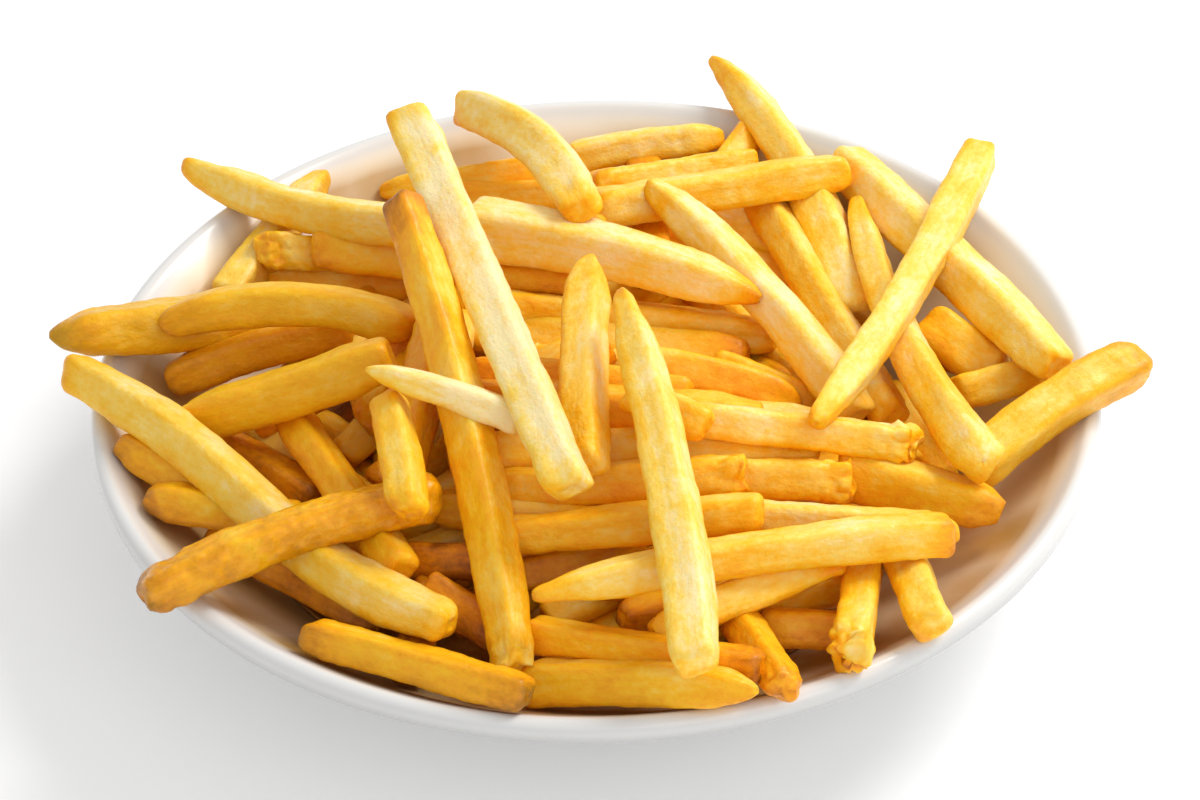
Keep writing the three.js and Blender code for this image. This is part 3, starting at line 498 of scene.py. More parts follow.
class Noise:
    """Smooth three-dimensional noise from -1 to 1, from a seeded lattice."""

    def __init__(self, seed):
        self.values = np.random.default_rng(seed).uniform(-1, 1, (LATTICE,) * 3)

    def __call__(self, points, size):
        scaled = points / size
        low = np.floor(scaled).astype(int)
        share = scaled - low
        share = share * share * (3 - 2 * share)
        total = 0.0
        for corner in np.ndindex(2, 2, 2):
            at = (low + corner) % LATTICE
            weight = np.where(np.array(corner) == 1, share, 1 - share).prod(-1)
            total = total + self.values[at[..., 0], at[..., 1], at[..., 2]] * weight
        return total


NOISE = Noise(seed=7)


def wave(places, height, shift, size):
    """Noise of a height and a size, with a shift that sets it apart from other waves."""
    return height * NOISE(places + shift, size)


def waves(places, kinds, start=0.0):
    """The sum of several kinds of waves."""
    return sum((wave(places, *kind) for kind in kinds), start)


# --- a fry's form ---

HOLLOW = 0.035  # of a face's middle
END_RINGS = 6
CAP_SHARES = (0.25, 0.6, 0.85)  # rings inside an end
DISH = 0.5  # depth of an end's middle
END_REACH = 1.6  # of its slant and its crumbs, in sides
CRUMBS_FALL = 1.5
PATH_STEP = 0.02
TINY = 1e-6
LAID_RINGS, LAID_SIDES, CRUMBLY_SIDES = 64, 34, 56
FILL_RINGS, FILL_RING_SIDES = 36, 26
CRUMBLY = 0.5  # beyond this a fry has more sides
LAID_SEED, FILL_FORM_SEED, FILL_LOOKS_SEED = 100, 900, 500

# Ends that stand out: how round some are, and the broad square one
ROUND_ENDS = {
    "right_top": 3.4, "right_slender": 3.4, "left_browned": 3.6, "left_long": 3.2, "left_horn": 3.0,
    "left_short": 2.8, "right_overhang": 2.8, "left_overhang": 2.2, "centre_peak": 2.6, "left_olive": 3.2,
}
SQUARE_TOP = "top_pale"
SQUARE_TIP = 1.1
SQUARE_SLANT = (0.3, -0.5)

# Waves in a fry's form: a height, a shift and a size, and without the height where one serves twice
BLISTER, CRUMB = (70, 2.6), (10, 3.6)
WIDTH_WAVE, DEPTH_WAVE = (0.05, 0, 17.0), (0.05, 50, 14.0)
SKIN_WAVES = ((0.34, 0, 9.0), (0.18, 0, 3.4), (0.1, 0, 1.6))
END_WAVE = (0.5, 40, 4.0)
BLISTER_WAVES = ((0.28, *BLISTER), (0.22, 80, 1.3))
CRUMB_WAVES = ((2.4, *CRUMB), (1.8, 0, 1.7))
CRUMB_SINK = 0.8
CUT_WAVE = (1.0, 90, 3.2)
CUT_UNEVEN, CUT_CRUMBLY = 0.2, 2.4

# What browns a point or makes it paler, with painted light on the faces that look up towards the light
TINT_WAVES = ((0.1, 60, 15.0), (0.06, 0, 6.0))
CORNER_BROWN = 0.07
END_BROWN = 0.58
CAP_BROWN, CAP_BROWNER = 0.35, 0.5  # in the middle of an end, and added at its edge
FADE_WAVE = (0.5, 30, 5.0)
FADE_LEAST, FADE_SPAN = 1.5, 7  # of a browned end, in millimetres
SPOT_WAVE = (1.0, 20, 4.0)
SPOT_FROM, SPOT_BROWN = 0.35, 0.12
BLISTER_PALER = 0.12
# Painted light: the way the light comes from, up and a little to the right; faces that look this way are
# paler
PAINTED_LIGHT_SIDE = np.array([0.42, 0.1, 0.9])
PAINTED_LIGHT_PALER = 0.1
# How wide the creases between the crumbs are, how much darker they are made, and how much paler the crumbs
# are
PIT_WIDTH, PIT_DARKER, CRUMB_PALER = 0.2, 0.4, 0.1


class Form:
    """What makes one fry: its path, its section, its ends and how it is fried."""

    def __init__(self, path, facing, side, tips, turn, widening, looks, seed, rings, sides):
        self.path, self.facing = path, facing
        self.side, self.tips, self.turn, self.widening = side, tips, turn, widening
        self.tint, self.brown, self.olive, self.rough, self.blistered = looks
        self.rings, self.sides = rings, sides
        draw = np.random.default_rng(seed)
        self.offset = draw.uniform(0, 400, 3)
        self.aspect = draw.uniform(0.93, 1.07)
        self.twist = math.radians(draw.uniform(-9, 9))
        self.slant = draw.uniform(-0.2, 0.2, (2, 2))
        self.square = draw.uniform(3.8, 6.0)
        self.tone = draw.uniform(-0.05, 0.05)
        self.round = draw.uniform(1.3, 2.6)


def ring_places(form, length):
    """Every ring's place along the fry, its inset and its share: a cap, an edge, the body and so back."""
    turn = np.linspace(0, math.pi / 2, END_RINGS + 1)
    edge = form.round * (1 - np.cos(turn))
    inset = form.round * (1 - np.sin(turn))
    body = np.linspace(form.round, length - form.round, form.rings)[1:-1]
    caps = np.array(CAP_SHARES)
    dish = DISH * (1 - caps**2)
    along = np.concatenate([dish, edge, body, length - edge[::-1], length - dish[::-1]])
    cut = np.full(len(caps), form.round)
    insets = np.concatenate([cut, inset, np.zeros(len(body)), inset[::-1], cut])
    share = np.concatenate([caps, np.ones(len(edge) * 2 + len(body)), caps[::-1]])
    return along, insets, share


def full_turn(count):
    return np.arange(count) / count * 2 * math.pi


def section(sides, square):
    """Unit outline of a square with round corners and hollow sides, and how near a corner each point is."""
    angle = full_turn(sides)
    x, y = np.cos(angle), np.sin(angle)
    radius = (np.abs(x) ** square + np.abs(y) ** square) ** (-1 / square)
    flat = (1 + np.cos(4 * angle)) / 2
    radius = radius * (1 - HOLLOW * flat)
    return x * radius, y * radius, 1 - flat


def frames_along(form, t):
    """Three directions at each t: along the fry, the way it faces, and beside it."""
    ways = form.path(np.minimum(1, t + PATH_STEP)) - form.path(np.maximum(0, t - PATH_STEP))
    ways /= np.linalg.norm(ways, axis=1)[:, None]
    face = form.facing - ways * (ways @ form.facing)[:, None]
    face /= np.linalg.norm(face, axis=1)[:, None]
    return ways, face, np.cross(face, ways)


def ring_outlines(form, along, t, inset, share):
    """Where the points of every ring lie beside the middle line, and how near a corner each is."""
    x, y, corner = section(form.sides, form.square)
    lay = np.zeros((len(t), 3)) + form.offset
    lay[:, 0] += along
    taper = tip_scale(*form.tips, t) * (1 + form.widening * (t - 0.5))
    radial = (form.side / 2 - inset) * taper * share
    a = (radial * (1 + wave(lay, *WIDTH_WAVE)) * math.sqrt(form.aspect))[:, None] * x
    b = (radial * (1 + wave(lay, *DEPTH_WAVE)) / math.sqrt(form.aspect))[:, None] * y
    return a, b, corner


def skin_swell(form, lay, ends, broken):
    """How far the skin stands out: uneven, more so near the ends, blistered, and crumbly where broken."""
    swell = waves(lay, SKIN_WAVES)
    swell += ends * wave(lay, *END_WAVE)
    swell += form.blistered * waves(lay, BLISTER_WAVES)
    swell += broken * (sum(np.abs(wave(lay, *kind)) for kind in CRUMB_WAVES) - CRUMB_SINK)
    return swell


def fried_with_painted_light(form, lay, near, share, corner, normal, broken):
    """How fried each point is: the corners and the ends more than the faces; and what looks up towards the
    light is paler, as painted light.
    """
    fade = FADE_LEAST + FADE_SPAN * (0.5 + wave(lay, *FADE_WAVE))
    browned = form.brown[0] * np.exp(-near[0] / fade) + form.brown[1] * np.exp(-near[1] / fade)
    browned = browned * np.where(share < 1, CAP_BROWN + CAP_BROWNER * share, 1.0)
    fried = waves(lay, TINT_WAVES, form.tint + form.tone)
    fried = fried + CORNER_BROWN * corner**2 * share + END_BROWN * browned
    fried = fried + SPOT_BROWN * np.maximum(0, wave(lay, *SPOT_WAVE) - SPOT_FROM) / (1 - SPOT_FROM)
    fried = fried - form.blistered * BLISTER_PALER * wave(lay, 1.0, *BLISTER)
    # Painted light: paler where the faces look up towards the light
    fried = fried - PAINTED_LIGHT_PALER * (normal @ PAINTED_LIGHT_SIDE) * share
    # Darker along the creases between the crumbs
    pits = np.maximum(0, PIT_WIDTH - np.abs(wave(lay, 1.0, *CRUMB)))
    return fried + broken * (PIT_DARKER * pits / PIT_WIDTH - CRUMB_PALER)


def fry_points(form):
    """Corner points of one fry, how fried each is with its painted light and shade, and its place in the
    fry's own potato.
    """
    length = np.linalg.norm(form.path(np.array([1.0])) - form.path(np.array([0.0])))
    along, inset, share = ring_places(form, length)
    t = np.clip(along / length, 0, 1)
    a, b, corner = ring_outlines(form, along, t, inset, share)
    along, share = along[:, None], share[:, None]
    turn = (form.turn + form.twist * (t - 0.5))[:, None]
    out = a * np.cos(turn) - b * np.sin(turn)
    up = a * np.sin(turn) + b * np.cos(turn)
    way, face, beside = frames_along(form, t)
    centre = form.path(t)[:, None]
    points = centre + beside[:, None] * out[..., None] + face[:, None] * up[..., None]
    normal = points - centre
    normal /= np.maximum(np.linalg.norm(normal, axis=-1), TINY)[..., None]
    lay = np.stack([np.broadcast_to(along, a.shape), a, b], -1) + form.offset
    first = np.maximum(0, 1 - along / (END_REACH * form.side))
    last = np.maximum(0, 1 - (length - along) / (END_REACH * form.side))
    ends = first + last
    broken = first**CRUMBS_FALL * form.rough[0] + last**CRUMBS_FALL * form.rough[1]
    # The ends are cut at a slant, and unevenly.
    cut0 = first * (form.slant[0, 0] * a + form.slant[0, 1] * b)
    cut1 = last * (form.slant[1, 0] * a + form.slant[1, 1] * b)
    cut = cut0 + cut1 + (CUT_UNEVEN + CUT_CRUMBLY * broken) * ends * wave(lay, *CUT_WAVE)
    swell = skin_swell(form, lay, ends, broken) * share
    fried = fried_with_painted_light(form, lay, (along + cut0, length - along), share, corner, normal, broken)
    return points + normal * swell[..., None] + way[:, None] * cut[..., None], fried, lay


def tube_faces(rings, sides, first=0):
    """Faces of a closed tube whose points start at a number: its rings, then the poles of its two ends."""
    k = np.arange(sides)
    after = (k + 1) % sides
    ring = np.arange(rings - 1)[:, None] * sides
    quads = np.stack([ring + k, ring + after, ring + after + sides, ring + k + sides], -1)
    last = (rings - 1) * sides
    pole = np.full(sides, rings * sides)
    fans = np.concatenate([np.stack([after, k, pole], -1), np.stack([k + last, after + last, pole + 1], -1)])
    return (quads.reshape(-1, 4) + first).tolist() + (fans + first).tolist()


def add_object(name, data):
    """A new object in the scene."""
    made = bpy.data.objects.new(name, data)
    bpy.context.scene.collection.objects.link(made)
    return made


def make_mesh(name, points, faces, values):
    """A smooth mesh object in metres, with the named values at its corner points."""
    mesh = bpy.data.meshes.new(name)
    mesh.from_pydata((points * MM).tolist(), [], faces)
    for key, value in values.items():
        kind, field = ("FLOAT_VECTOR", "vector") if value.ndim == 2 else ("FLOAT", "value")
        layer = mesh.attributes.new(key, kind, "POINT")
        layer.data.foreach_set(field, value.astype(np.float32).ravel())
    mesh.validate()
    mesh.shade_smooth()
    return add_object(name, mesh)


def join_fries(name, forms):
    """One mesh of several fries, with the values that their crust reads."""
    points, faces = [], []
    values = {"fried": [], "lay": [], "olive": [], "blistered": []}
    first = 0
    for form in forms:
        body, fried, lay = fry_points(form)
        rings, sides = body.shape[:2]
        count = rings * sides + 2
        points += [body.reshape(-1, 3), np.stack([body[0].mean(0), body[-1].mean(0)])]
        values["fried"] += [fried.ravel(), fried[[0, -1]].mean(1)]
        values["lay"] += [lay.reshape(-1, 3), lay[[0, -1]].mean(1)]
        values["olive"].append(np.full(count, form.olive))
        values["blistered"].append(np.full(count, form.blistered))
        faces += tube_faces(rings, sides, first)
        first += count
    values = {key: np.concatenate(parts) for key, parts in values.items()}
    return make_mesh(name, np.concatenate(points), faces, values)


def laid_form(laid, k):
    """The form of a laid fry."""

    def path(t):
        across, up = laid.seen_at(t)
        return place(across[k], up[k], laid.depths(t)[k])

    name = laid.name[k]
    side = laid.side[k] * laid.depths(HALFWAY)[k, 0] / SIGHT_DISTANCE
    tips = (SQUARE_TIP if name == SQUARE_TOP else laid.tip0[k], laid.tip1[k])
    looks = (laid.tint[k], laid.brown[k], laid.olive[k], laid.rough[k], laid.blistered[k])
    seed = LAID_SEED + k
    sides = CRUMBLY_SIDES if laid.rough[k].max() > CRUMBLY else LAID_SIDES
    form = Form(path, -FORWARD, side, tips, laid.turn[k], laid.widening[k], looks, seed, LAID_RINGS, sides)
    if name == SQUARE_TOP:
        form.slant[0] = SQUARE_SLANT
    form.round = ROUND_ENDS.get(name, form.round)
    return form


def filling_form(fry, k):
    """The form of a filling fry, with looks that are drawn."""

    def path(t):
        return fry.points(fry.sink, t)

    draw = np.random.default_rng(FILL_LOOKS_SEED + k)
    tint = draw.uniform(0.3, 0.52)
    brown = draw.uniform(0, 0.8, 2)
    olive = draw.choice([0, 0, 0.3])
    rough = (0.0, draw.choice([0, 0, 0.6]))
    blistered = draw.choice([0, 0, 0.4])
    looks = (tint, brown, olive, rough, blistered)
    up = np.array([0.0, 0.0, 1.0])
    seed = FILL_FORM_SEED + k
    return Form(path, up, fry.side, fry.tips, fry.turn, 0.0, looks, seed, FILL_RINGS, FILL_RING_SIDES)


# --- materials ---

NOISE_LOW, NOISE_HIGH = 0.3, 0.7  # nearly all of a noise lies between these
WHITE = (1.0, 1.0, 1.0, 1.0)
CRUST = [
    (0.04, (1.0, 0.82, 0.43)), (0.25, (1.0, 0.67, 0.11)), (0.42, (1.0, 0.53, 0.008)),
    (0.58, (0.96, 0.40, 0.002)), (0.78, (0.70, 0.24, 0.001)), (1.0, (0.30, 0.085, 0.001)),
]
OLIVE = (0.66, 0.40, 0.004, 1.0)
# The bed's dark colours are painted shade of the deeper fries
SHADED = [(0.3, (0.30, 0.10, 0.010)), (0.5, (0.42, 0.16, 0.015)), (0.7, (0.55, 0.25, 0.03))]
GLAZE = [(0.3, (0.72, 0.716, 0.702)), (0.7, (0.75, 0.747, 0.735))]
# The inside is paler than the outside as painted light
INNER_PAINTED_LIGHT = (0.90, 0.885, 0.86, 1.0)
# The outside below the lip is darker as painted shade
UNDER_PAINTED_SHADE = (0.50, 0.498, 0.488, 1.0)
SPECK = (0.55, 0.52, 0.46, 1.0)
# Oil stain with painted shade and bounced light near the fries: peach farther off, deep amber close to them
OIL_AND_SHADE_COLOURS = [(0.2, (0.94, 0.73, 0.32)), (0.8, (0.52, 0.29, 0.04))]
BARE = [(0.3, (0.62, 0.59, 0.53)), (0.7, (0.72, 0.69, 0.63))]
FLOOR = [(0.3, (0.84, 0.84, 0.84)), (0.7, (0.86, 0.86, 0.86))]


class Shader:
    """Builds a node material with few words."""

    def __init__(self, name):
        self.material = bpy.data.materials.new(name)
        self.material.use_nodes = True
        self.tree = self.material.node_tree

    def connect(self, node, inputs):
        """Gives a node its inputs, each an output of another node, a number or a colour."""
        for socket, source in inputs.items():
            if hasattr(source, "is_output"):
                self.tree.links.new(source, node.inputs[socket])
            else:
                node.inputs[socket].default_value = source

    def add(self, kind, inputs, **settings):
        node = self.tree.nodes.new("ShaderNode" + kind)
        for key, value in settings.items():
            setattr(node, key, value)
        self.connect(node, inputs)
        return node

    def attribute(self, name, output="Fac"):
        return self.add("Attribute", {}, attribute_name=name).outputs[output]

    def object_place(self):
        return self.add("TexCoord", {}).outputs["Object"]

    def math(self, operation, first, second):
        return self.add("Math", {0: first, 1: second}, operation=operation).outputs[0]

    def noise(self, vector, size, detail, roughness=0.5):
        """Noise of a size in the vector's unit, one number or one for each direction."""
        size = size if isinstance(size, tuple) else (size, size, size)
        scaled = self.add("Mapping", {"Vector": vector, "Scale": size}, vector_type="TEXTURE")
        inputs = {"Vector": scaled.outputs[0], "Scale": 1.0, "Detail": detail, "Roughness": roughness}
        return self.add("TexNoise", inputs).outputs["Fac"]

    def spread(self, value, least, most, low=NOISE_LOW, high=NOISE_HIGH):
        """What lies between low and high, spread from least to most."""
        inputs = {"Value": value, "From Min": low, "From Max": high, "To Min": least, "To Max": most}
        return self.add("MapRange", inputs).outputs[0]

    def ramp(self, value, stops):
        node = self.add("ValToRGB", {"Fac": value})
        elements = node.color_ramp.elements
        for _ in stops[2:]:
            elements.new(0.5)
        for element, (position, _) in zip(elements, stops):
            element.position = position
        for element, (_, colour) in zip(elements, stops):
            element.color = (*colour, 1.0)
        return node.outputs["Color"]

    def mix(self, share, first, second):
        return self.add("Mix", {0: share, 6: first, 7: second}, data_type="RGBA").outputs[2]

    def bump(self, height, distance, strength=1.0, under=None):
        """A bump, on top of the one under it."""
        inputs = {"Height": height, "Distance": distance, "Strength": strength}
        if under is not None:
            inputs["Normal"] = under
        return self.add("Bump", inputs).outputs[0]

    def finish(self, inputs):
        """The material, once its surface has its inputs."""
        self.connect(self.tree.nodes["Principled BSDF"], inputs)
        return self.material


def crust_material():
    """Fried potato: a mottled golden crust with browned corners, tiny blisters and an oily sheen."""
    shader = Shader("fried_crust")
    lay = shader.attribute("lay", "Vector")
    blistered = shader.attribute("blistered")
    mottling = shader.noise(lay, (9.0, 6.0, 6.0), 4.0, 0.6)
    grain = shader.noise(lay, (1.9, 1.3, 1.3), 4.0, 0.65)
    streaks = shader.noise(lay, (16.0, 1.4, 1.4), 2.0)
    blisters = shader.noise(lay, (1.1, 0.9, 0.9), 2.0)
    pearls = shader.noise(lay, (2.2, 2.0, 2.0), 0.0)
    fried = shader.attribute("fried")
    for pattern, height in ((mottling, 0.09), (grain, 0.08), (streaks, 0.05)):
        fried = shader.math("ADD", fried, shader.spread(pattern, -height, height))
    olive = shader.math("MULTIPLY", shader.attribute("olive"), shader.spread(mottling, 0.5, 1.0, 0.35, 0.6))
    gloss = shader.math("MULTIPLY", blistered, 0.16)
    bump = shader.bump(grain, 0.4 * MM, 0.7)
    bump = shader.bump(blisters, 0.2 * MM, 0.6, bump)
    bump = shader.bump(shader.math("MULTIPLY", pearls, blistered), 0.8 * MM, 0.8, bump)
    return shader.finish({
        "Base Color": shader.mix(olive, shader.ramp(fried, CRUST), OLIVE),
        "Roughness": shader.math("SUBTRACT", shader.spread(grain, 0.36, 0.56), gloss),
        "Specular IOR Level": 0.28,
        "Subsurface Weight": 0.3,
        "Subsurface Radius": (1.0, 0.4, 0.06),
        "Subsurface Scale": 3.5 * MM,
        "Coat Weight": 0.12,
        "Coat Roughness": 0.22,
        "Normal": bump,
    })


def matt_material(name, colours, patch, grain, roughness, *bump):
    """A matt surface with patches and a grain of two sizes."""
    shader = Shader(name)
    spot = shader.object_place()
    fine = shader.noise(spot, grain, 3.0)
    return shader.finish({
        "Base Color": shader.ramp(shader.noise(spot, patch, 3.0), colours),
        "Roughness": shader.spread(fine, *roughness),
        "Normal": shader.bump(fine, *bump),
    })


def glaze_material():
    """White glazed china, hardly uneven, with a faint warm cloudiness, paler inside as painted light and
    darker under the lip as painted shade, and golden near the fries with oil, painted shade and bounced
    light.
    """
    shader = Shader("white_glaze")
    spot = shader.object_place()
    clouds = shader.noise(spot, 45.0 * MM, 2.0)
    ripple = shader.noise(spot, 16.0 * MM, 2.0)
    specks = shader.noise(spot, 0.9 * MM, 1.0)
    # Painted light: paler on the inside
    colour = shader.mix(shader.attribute("inner"), shader.ramp(clouds, GLAZE), INNER_PAINTED_LIGHT)
    # Painted shade: darker on the outside below the lip
    colour = shader.mix(shader.attribute("under"), colour, UNDER_PAINTED_SHADE)
    colour = shader.mix(shader.spread(specks, 0.0, 0.12, 0.70, 0.78), colour, SPECK)
    # Oil stain with painted shade and bounced light near the fries
    oily = shader.math("MULTIPLY", shader.attribute("oily"), shader.spread(clouds, 0.85, 1.0))
    return shader.finish({
        "Base Color": shader.mix(oily, colour, shader.ramp(oily, OIL_AND_SHADE_COLOURS)),
        "Roughness": shader.spread(ripple, 0.2, 0.27),
        "Coat Weight": 0.15,
        "Coat Roughness": 0.12,
        "Normal": shader.bump(ripple, 0.4 * MM, 0.25),
    })


def floor_material():
    """The pale floor of the stage, which glows a little."""
    shader = Shader("pale_floor")
    return shader.finish({
        "Base Color": shader.ramp(shader.noise(shader.object_place(), 400.0 * MM, 1.0), FLOOR),
        "Roughness": 0.7,
        "Emission Color": WHITE,
        "Emission Strength": 0.2,
    })


# --- the bowl ---

BOWL_AROUND = 200
FIRST_RING = 4.0
FLOOR_RINGS, WALL_RINGS, LIP_RINGS, EDGE_RINGS, UNDER_RINGS, ROUND_RINGS = 8, 26, 12, 6, 26, 5
WALL_START = 3.0
LIP_BLEND = 1.1
BLEND_WIDTH = 12.6
BLEND_TURN = math.radians(131)
SIDE_SHARES = (0.35, 0.7, 1)
EDGE_ROUND = 0.7
FOOT_RING = ((4.0, 0.0), (4.6, 0.4), (5.0, 1.2), (8.0, 1.6))  # insets and heights
BASE_HEIGHT = 1.6
BASE_RADII = (30.0, 15.0, FIRST_RING)
BARE_WIDTH = 5.0
BARE_HEIGHT = 0.1
INNER_SLACK = 1.0
INNER_FADE = 4.0
# Painted shade below the lip: the height where it begins and how fast it comes in
UNDER_SHADE_TOP = 39.4
UNDER_SHADE_FADE = 4.0
OIL_AND_SHADE_MOST = 0.95
OIL_AND_SHADE_FALL = 1.15
OIL_AND_SHADE_REACH = 24.0
# Heights count less, so the glaze under the fries gets more oil and painted shade, where they drip and shade
# it
OIL_AND_SHADE_DRIP = 0.5  # share of a height that counts


def arc(centre_r, centre_z, radius, start, stop, count):
    """Points of an arc in the bowl's section."""
    turn = np.linspace(start, stop, count)
    return [(centre_r + radius * math.cos(a), centre_z + radius * math.sin(a)) for a in turn]


def bowl_profile():
    """The bowl's section from the middle of its floor, up the inside, over the lip and down to the middle."""
    profile = [(r, FLOOR_HEIGHT) for r in np.linspace(FIRST_RING, FLOOR_RADIUS, FLOOR_RINGS)]
    for r in np.linspace(FLOOR_RADIUS + WALL_START, INNER_RADIUS, WALL_RINGS):
        blend = LIP_BLEND * max(0.0, 1 - (INNER_RADIUS - r) / BLEND_WIDTH) ** 2
        profile.append((r, float(wall_height(r)) + blend))
    lip = RIM_HEIGHT - LIP_RADIUS
    profile += arc(RIM_RADIUS - LIP_RADIUS, lip, LIP_RADIUS, BLEND_TURN, 0, LIP_RINGS)
    side = RIM_SIDE - EDGE_ROUND
    profile += [(RIM_RADIUS - RIM_TUCK * share, lip - side * share) for share in SIDE_SHARES]
    low = lip - RIM_SIDE
    edge = RIM_RADIUS - RIM_TUCK - EDGE_ROUND
    profile += arc(edge, low + EDGE_ROUND, EDGE_ROUND, 0, -math.pi / 2, EDGE_RINGS)[1:]
    inner, outer = FOOT_RADIUS - FOOT_FLARE, RIM_RADIUS - RIM_TUCK - UNDER_INSET
    for share in np.linspace(1, 0, UNDER_RINGS):
        height = FOOT_HEIGHT + (low - FOOT_HEIGHT) * share**UNDER_POWER
        profile.append((inner + (outer - inner) * share, height))
    profile += arc(FOOT_RADIUS - FOOT_ROUND, FOOT_ROUND, FOOT_ROUND, 0, -math.pi / 2, ROUND_RINGS)
    profile += [(FOOT_RADIUS - inset, height) for inset, height in FOOT_RING]
    profile += [(r, BASE_HEIGHT) for r in BASE_RADII]
    return np.array(profile)


def oil_and_shade_near(points, fries):
    """How much oil and painted shade the glaze has at each point: the more, the nearer the fries, and more
    under them, where they drip and shade it.
    """
    lowered = np.array([1.0, 1.0, OIL_AND_SHADE_DRIP])
    tree = KDTree(len(fries))
    for k, point in enumerate(fries * lowered):
        tree.insert(point, k)
    tree.balance()
    gap = np.array([tree.find(point)[2] for point in points * lowered]) - FILL_SIDES[0] / 2
    near = np.clip(1 - gap / OIL_AND_SHADE_REACH, 0, 1)
    return OIL_AND_SHADE_MOST * near**OIL_AND_SHADE_FALL


def make_bowl(fries):
    """The bowl, turned from its section, which the points of the fries stain with oil and painted shade."""
    profile = bowl_profile()
    out, high = profile[:, :1], profile[:, 1:]
    turn = full_turn(BOWL_AROUND)
    rings = np.stack([out * np.cos(turn), out * np.sin(turn), np.repeat(high, BOWL_AROUND, 1)], -1)
    poles = np.array([[0, 0, FLOOR_HEIGHT], [0, 0, BASE_HEIGHT]])
    points = np.concatenate([rings.reshape(-1, 3), poles])
    radius = np.hypot(points[:, 0], points[:, 1])
    height, surface = points[:, 2], wall_height(radius) - INNER_SLACK
    # The inside, paler as painted light, and where the oil and painted shade go
    inside = (height > surface) * np.clip((INNER_RADIUS - radius) / INNER_FADE, 0, 1)
    outside = (radius > RIM_RADIUS - LIP_RADIUS) | (height < surface)
    # Painted shade on the outside below the lip
    under = np.clip((UNDER_SHADE_TOP - height) / UNDER_SHADE_FADE, 0, 1) * outside
    values = {"oily": oil_and_shade_near(points, fries) * inside, "inner": inside, "under": under}
    faces = [face[::-1] for face in tube_faces(len(profile), BOWL_AROUND)]
    bowl = make_mesh("bowl_china", points, faces, values)
    bowl.data.materials.append(glaze_material())
    bare = matt_material("bare_foot", BARE, 1.2 * MM, 1.2 * MM, (0.6, 0.8), 0.1 * MM, 0.5)
    bowl.data.materials.append(bare)
    for face in bowl.data.polygons:
        radius = math.hypot(face.center.x, face.center.y) / MM
        if face.center.z < BARE_HEIGHT * MM and radius > FOOT_RADIUS - BARE_WIDTH:
            face.material_index = 1
    return bowl


# --- the bed under the fries ---

BED_AROUND, BED_RINGS = 160, 60
BED_HEIGHT = 27.0
BED_RADIUS = 68.0
BED_LIMIT = 84.0
BED_START = 0.02
BED_THICKNESS = 0.2
BED_HEAPS, BED_LUMPS = (3.0, 0, 14.0), (1.2, 0, 5.0)
BED_FLATTEN = [1, 1, 0.2]


def make_bed():
    """A low mound of potato, dark as painted shade, that closes the gaps between the fries."""
    share = np.linspace(BED_START, 1, BED_RINGS)[:, None]
    turn = full_turn(BED_AROUND)
    x = PEAK[0] + BED_RADIUS * share * np.cos(turn)
    y = PEAK[1] + BED_RADIUS * share * np.sin(turn)
    scale = np.minimum(1, BED_LIMIT / np.maximum(np.hypot(x, y), TINY))
    x, y = x * scale, y * scale
    top = CORE_CENTRE + (BED_HEIGHT - CORE_CENTRE) * np.sqrt(1 - share**2)
    floor = wall_height(np.hypot(x, y)) + DISH_GAP
    points = np.stack([x, y, np.broadcast_to(top, x.shape)], -1)
    relief = wave(points * BED_FLATTEN, *BED_HEAPS) + wave(points, *BED_LUMPS)
    upper = np.stack([x, y, np.maximum(points[..., 2] + relief, floor + BED_THICKNESS)], -1)
    lower = np.stack([x, y, floor], -1)[::-1]
    rings = np.concatenate([upper, lower])
    poles = np.stack([upper[0].mean(0), lower[-1].mean(0)])
    faces = [face[::-1] for face in tube_faces(len(rings), BED_AROUND)]
    bed = make_mesh("fries_bed", np.concatenate([rings.reshape(-1, 3), poles]), faces, {})
    shaded = matt_material("shaded_potato", SHADED, 12.0 * MM, 2.0 * MM, (0.45, 0.7), 0.6 * MM)
    bed.data.materials.append(shaded)
    return bed


# --- putting it together ---

# The meshes of fries, from the palest, and the tint below which a fry belongs to each
KINDS = [("fries_cream", 0.335), ("fries_golden", 0.405), ("fries_amber", 0.475), ("fries_browned", math.inf)]
FLOOR_REACH = 6000.0
WORLD_STRENGTH = 0.66
SENSOR = 36.0
PICTURE_WIDTH = 1200
PIXELS_PER_MM = 4.784  # at the distance of the aim

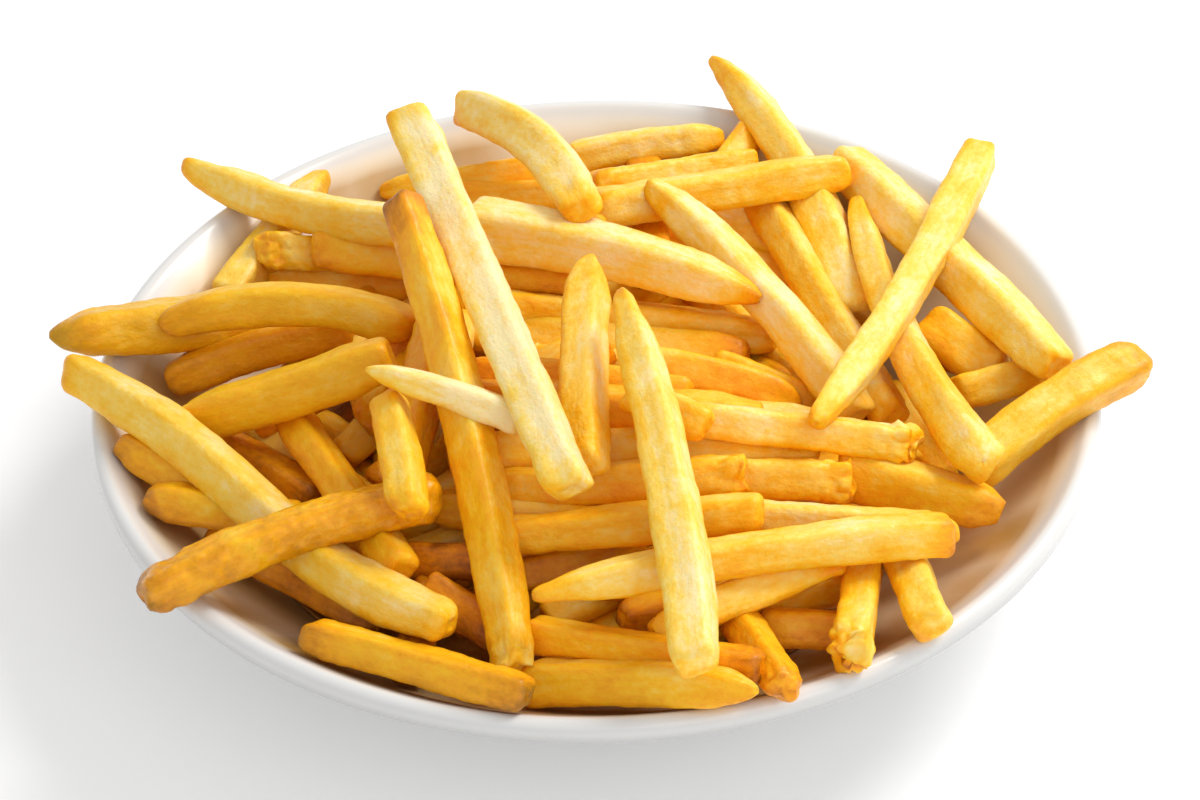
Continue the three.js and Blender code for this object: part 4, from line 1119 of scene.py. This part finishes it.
laid = Laid(LAID)
settle(laid)
forms = [laid_form(laid, k) for k in range(len(LAID))]
filling = fill(laid)
forms += [filling_form(fry, k) for k, fry in enumerate(filling)]
middles = [place(laid.across, laid.up, laid.depths())] + [fry.points(fry.sink)[None] for fry in filling]
crust = crust_material()
least = -math.inf
for name, most in KINDS:
    fries = join_fries(name, [form for form in forms if least <= form.tint < most])
    fries.data.materials.append(crust)
    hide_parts("fries_heap")
    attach(fries, "root")
    least = most
bed = make_bed()
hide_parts("fries_heap")
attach(bed, "root")
bowl = make_bowl(np.concatenate(middles).reshape(-1, 3))
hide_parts("bowl")
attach(bowl, "root")

# Stage, light and camera
floor_corners = np.array([(-1, -1, 0), (1, -1, 0), (1, 1, 0), (-1, 1, 0)]) * FLOOR_REACH
floor = make_mesh("floor", floor_corners, [(0, 1, 2, 3)], {})
floor.data.materials.append(floor_material())

scene = bpy.context.scene
world = bpy.data.worlds.new("studio")
scene.world = world
world.use_nodes = True
background = world.node_tree.nodes["Background"]
background.inputs["Color"].default_value = WHITE
background.inputs["Strength"].default_value = WORLD_STRENGTH


def area_light(name, at, aim, size, power, colour):
    """A round light that looks at its aim, in metres."""
    light = bpy.data.lights.new(name, "AREA")
    light.shape = "DISK"
    light.size = size
    light.energy = power
    light.color = colour
    lamp = add_object(name, light)
    lamp.location = at
    lamp.rotation_euler = (Vector(aim) - Vector(at)).to_track_quat("-Z", "Y").to_euler()


area_light("softbox", at=(0.6, 0.35, 0.85), aim=(0, 0, 0.05), size=0.55, power=8.4, colour=(1, 0.99, 0.97))
area_light("fill", at=(0.45, -0.9, 0.7), aim=(0, 0, 0.03), size=0.9, power=2.2, colour=(1, 1, 1))

lens = bpy.data.cameras.new("camera")
lens.sensor_width = SENSOR
lens.lens = PIXELS_PER_MM * SIGHT_DISTANCE / PICTURE_WIDTH * SENSOR
lens.clip_start = 0.01
lens.clip_end = 20
camera = add_object("camera", lens)
view = Matrix([ACROSS, UPWARD, -FORWARD]).transposed()
camera.matrix_world = Matrix.LocRotScale(Vector(EYE * MM), view.to_quaternion(), None)
scene.camera = camera
scene.view_settings.view_transform = "Standard"
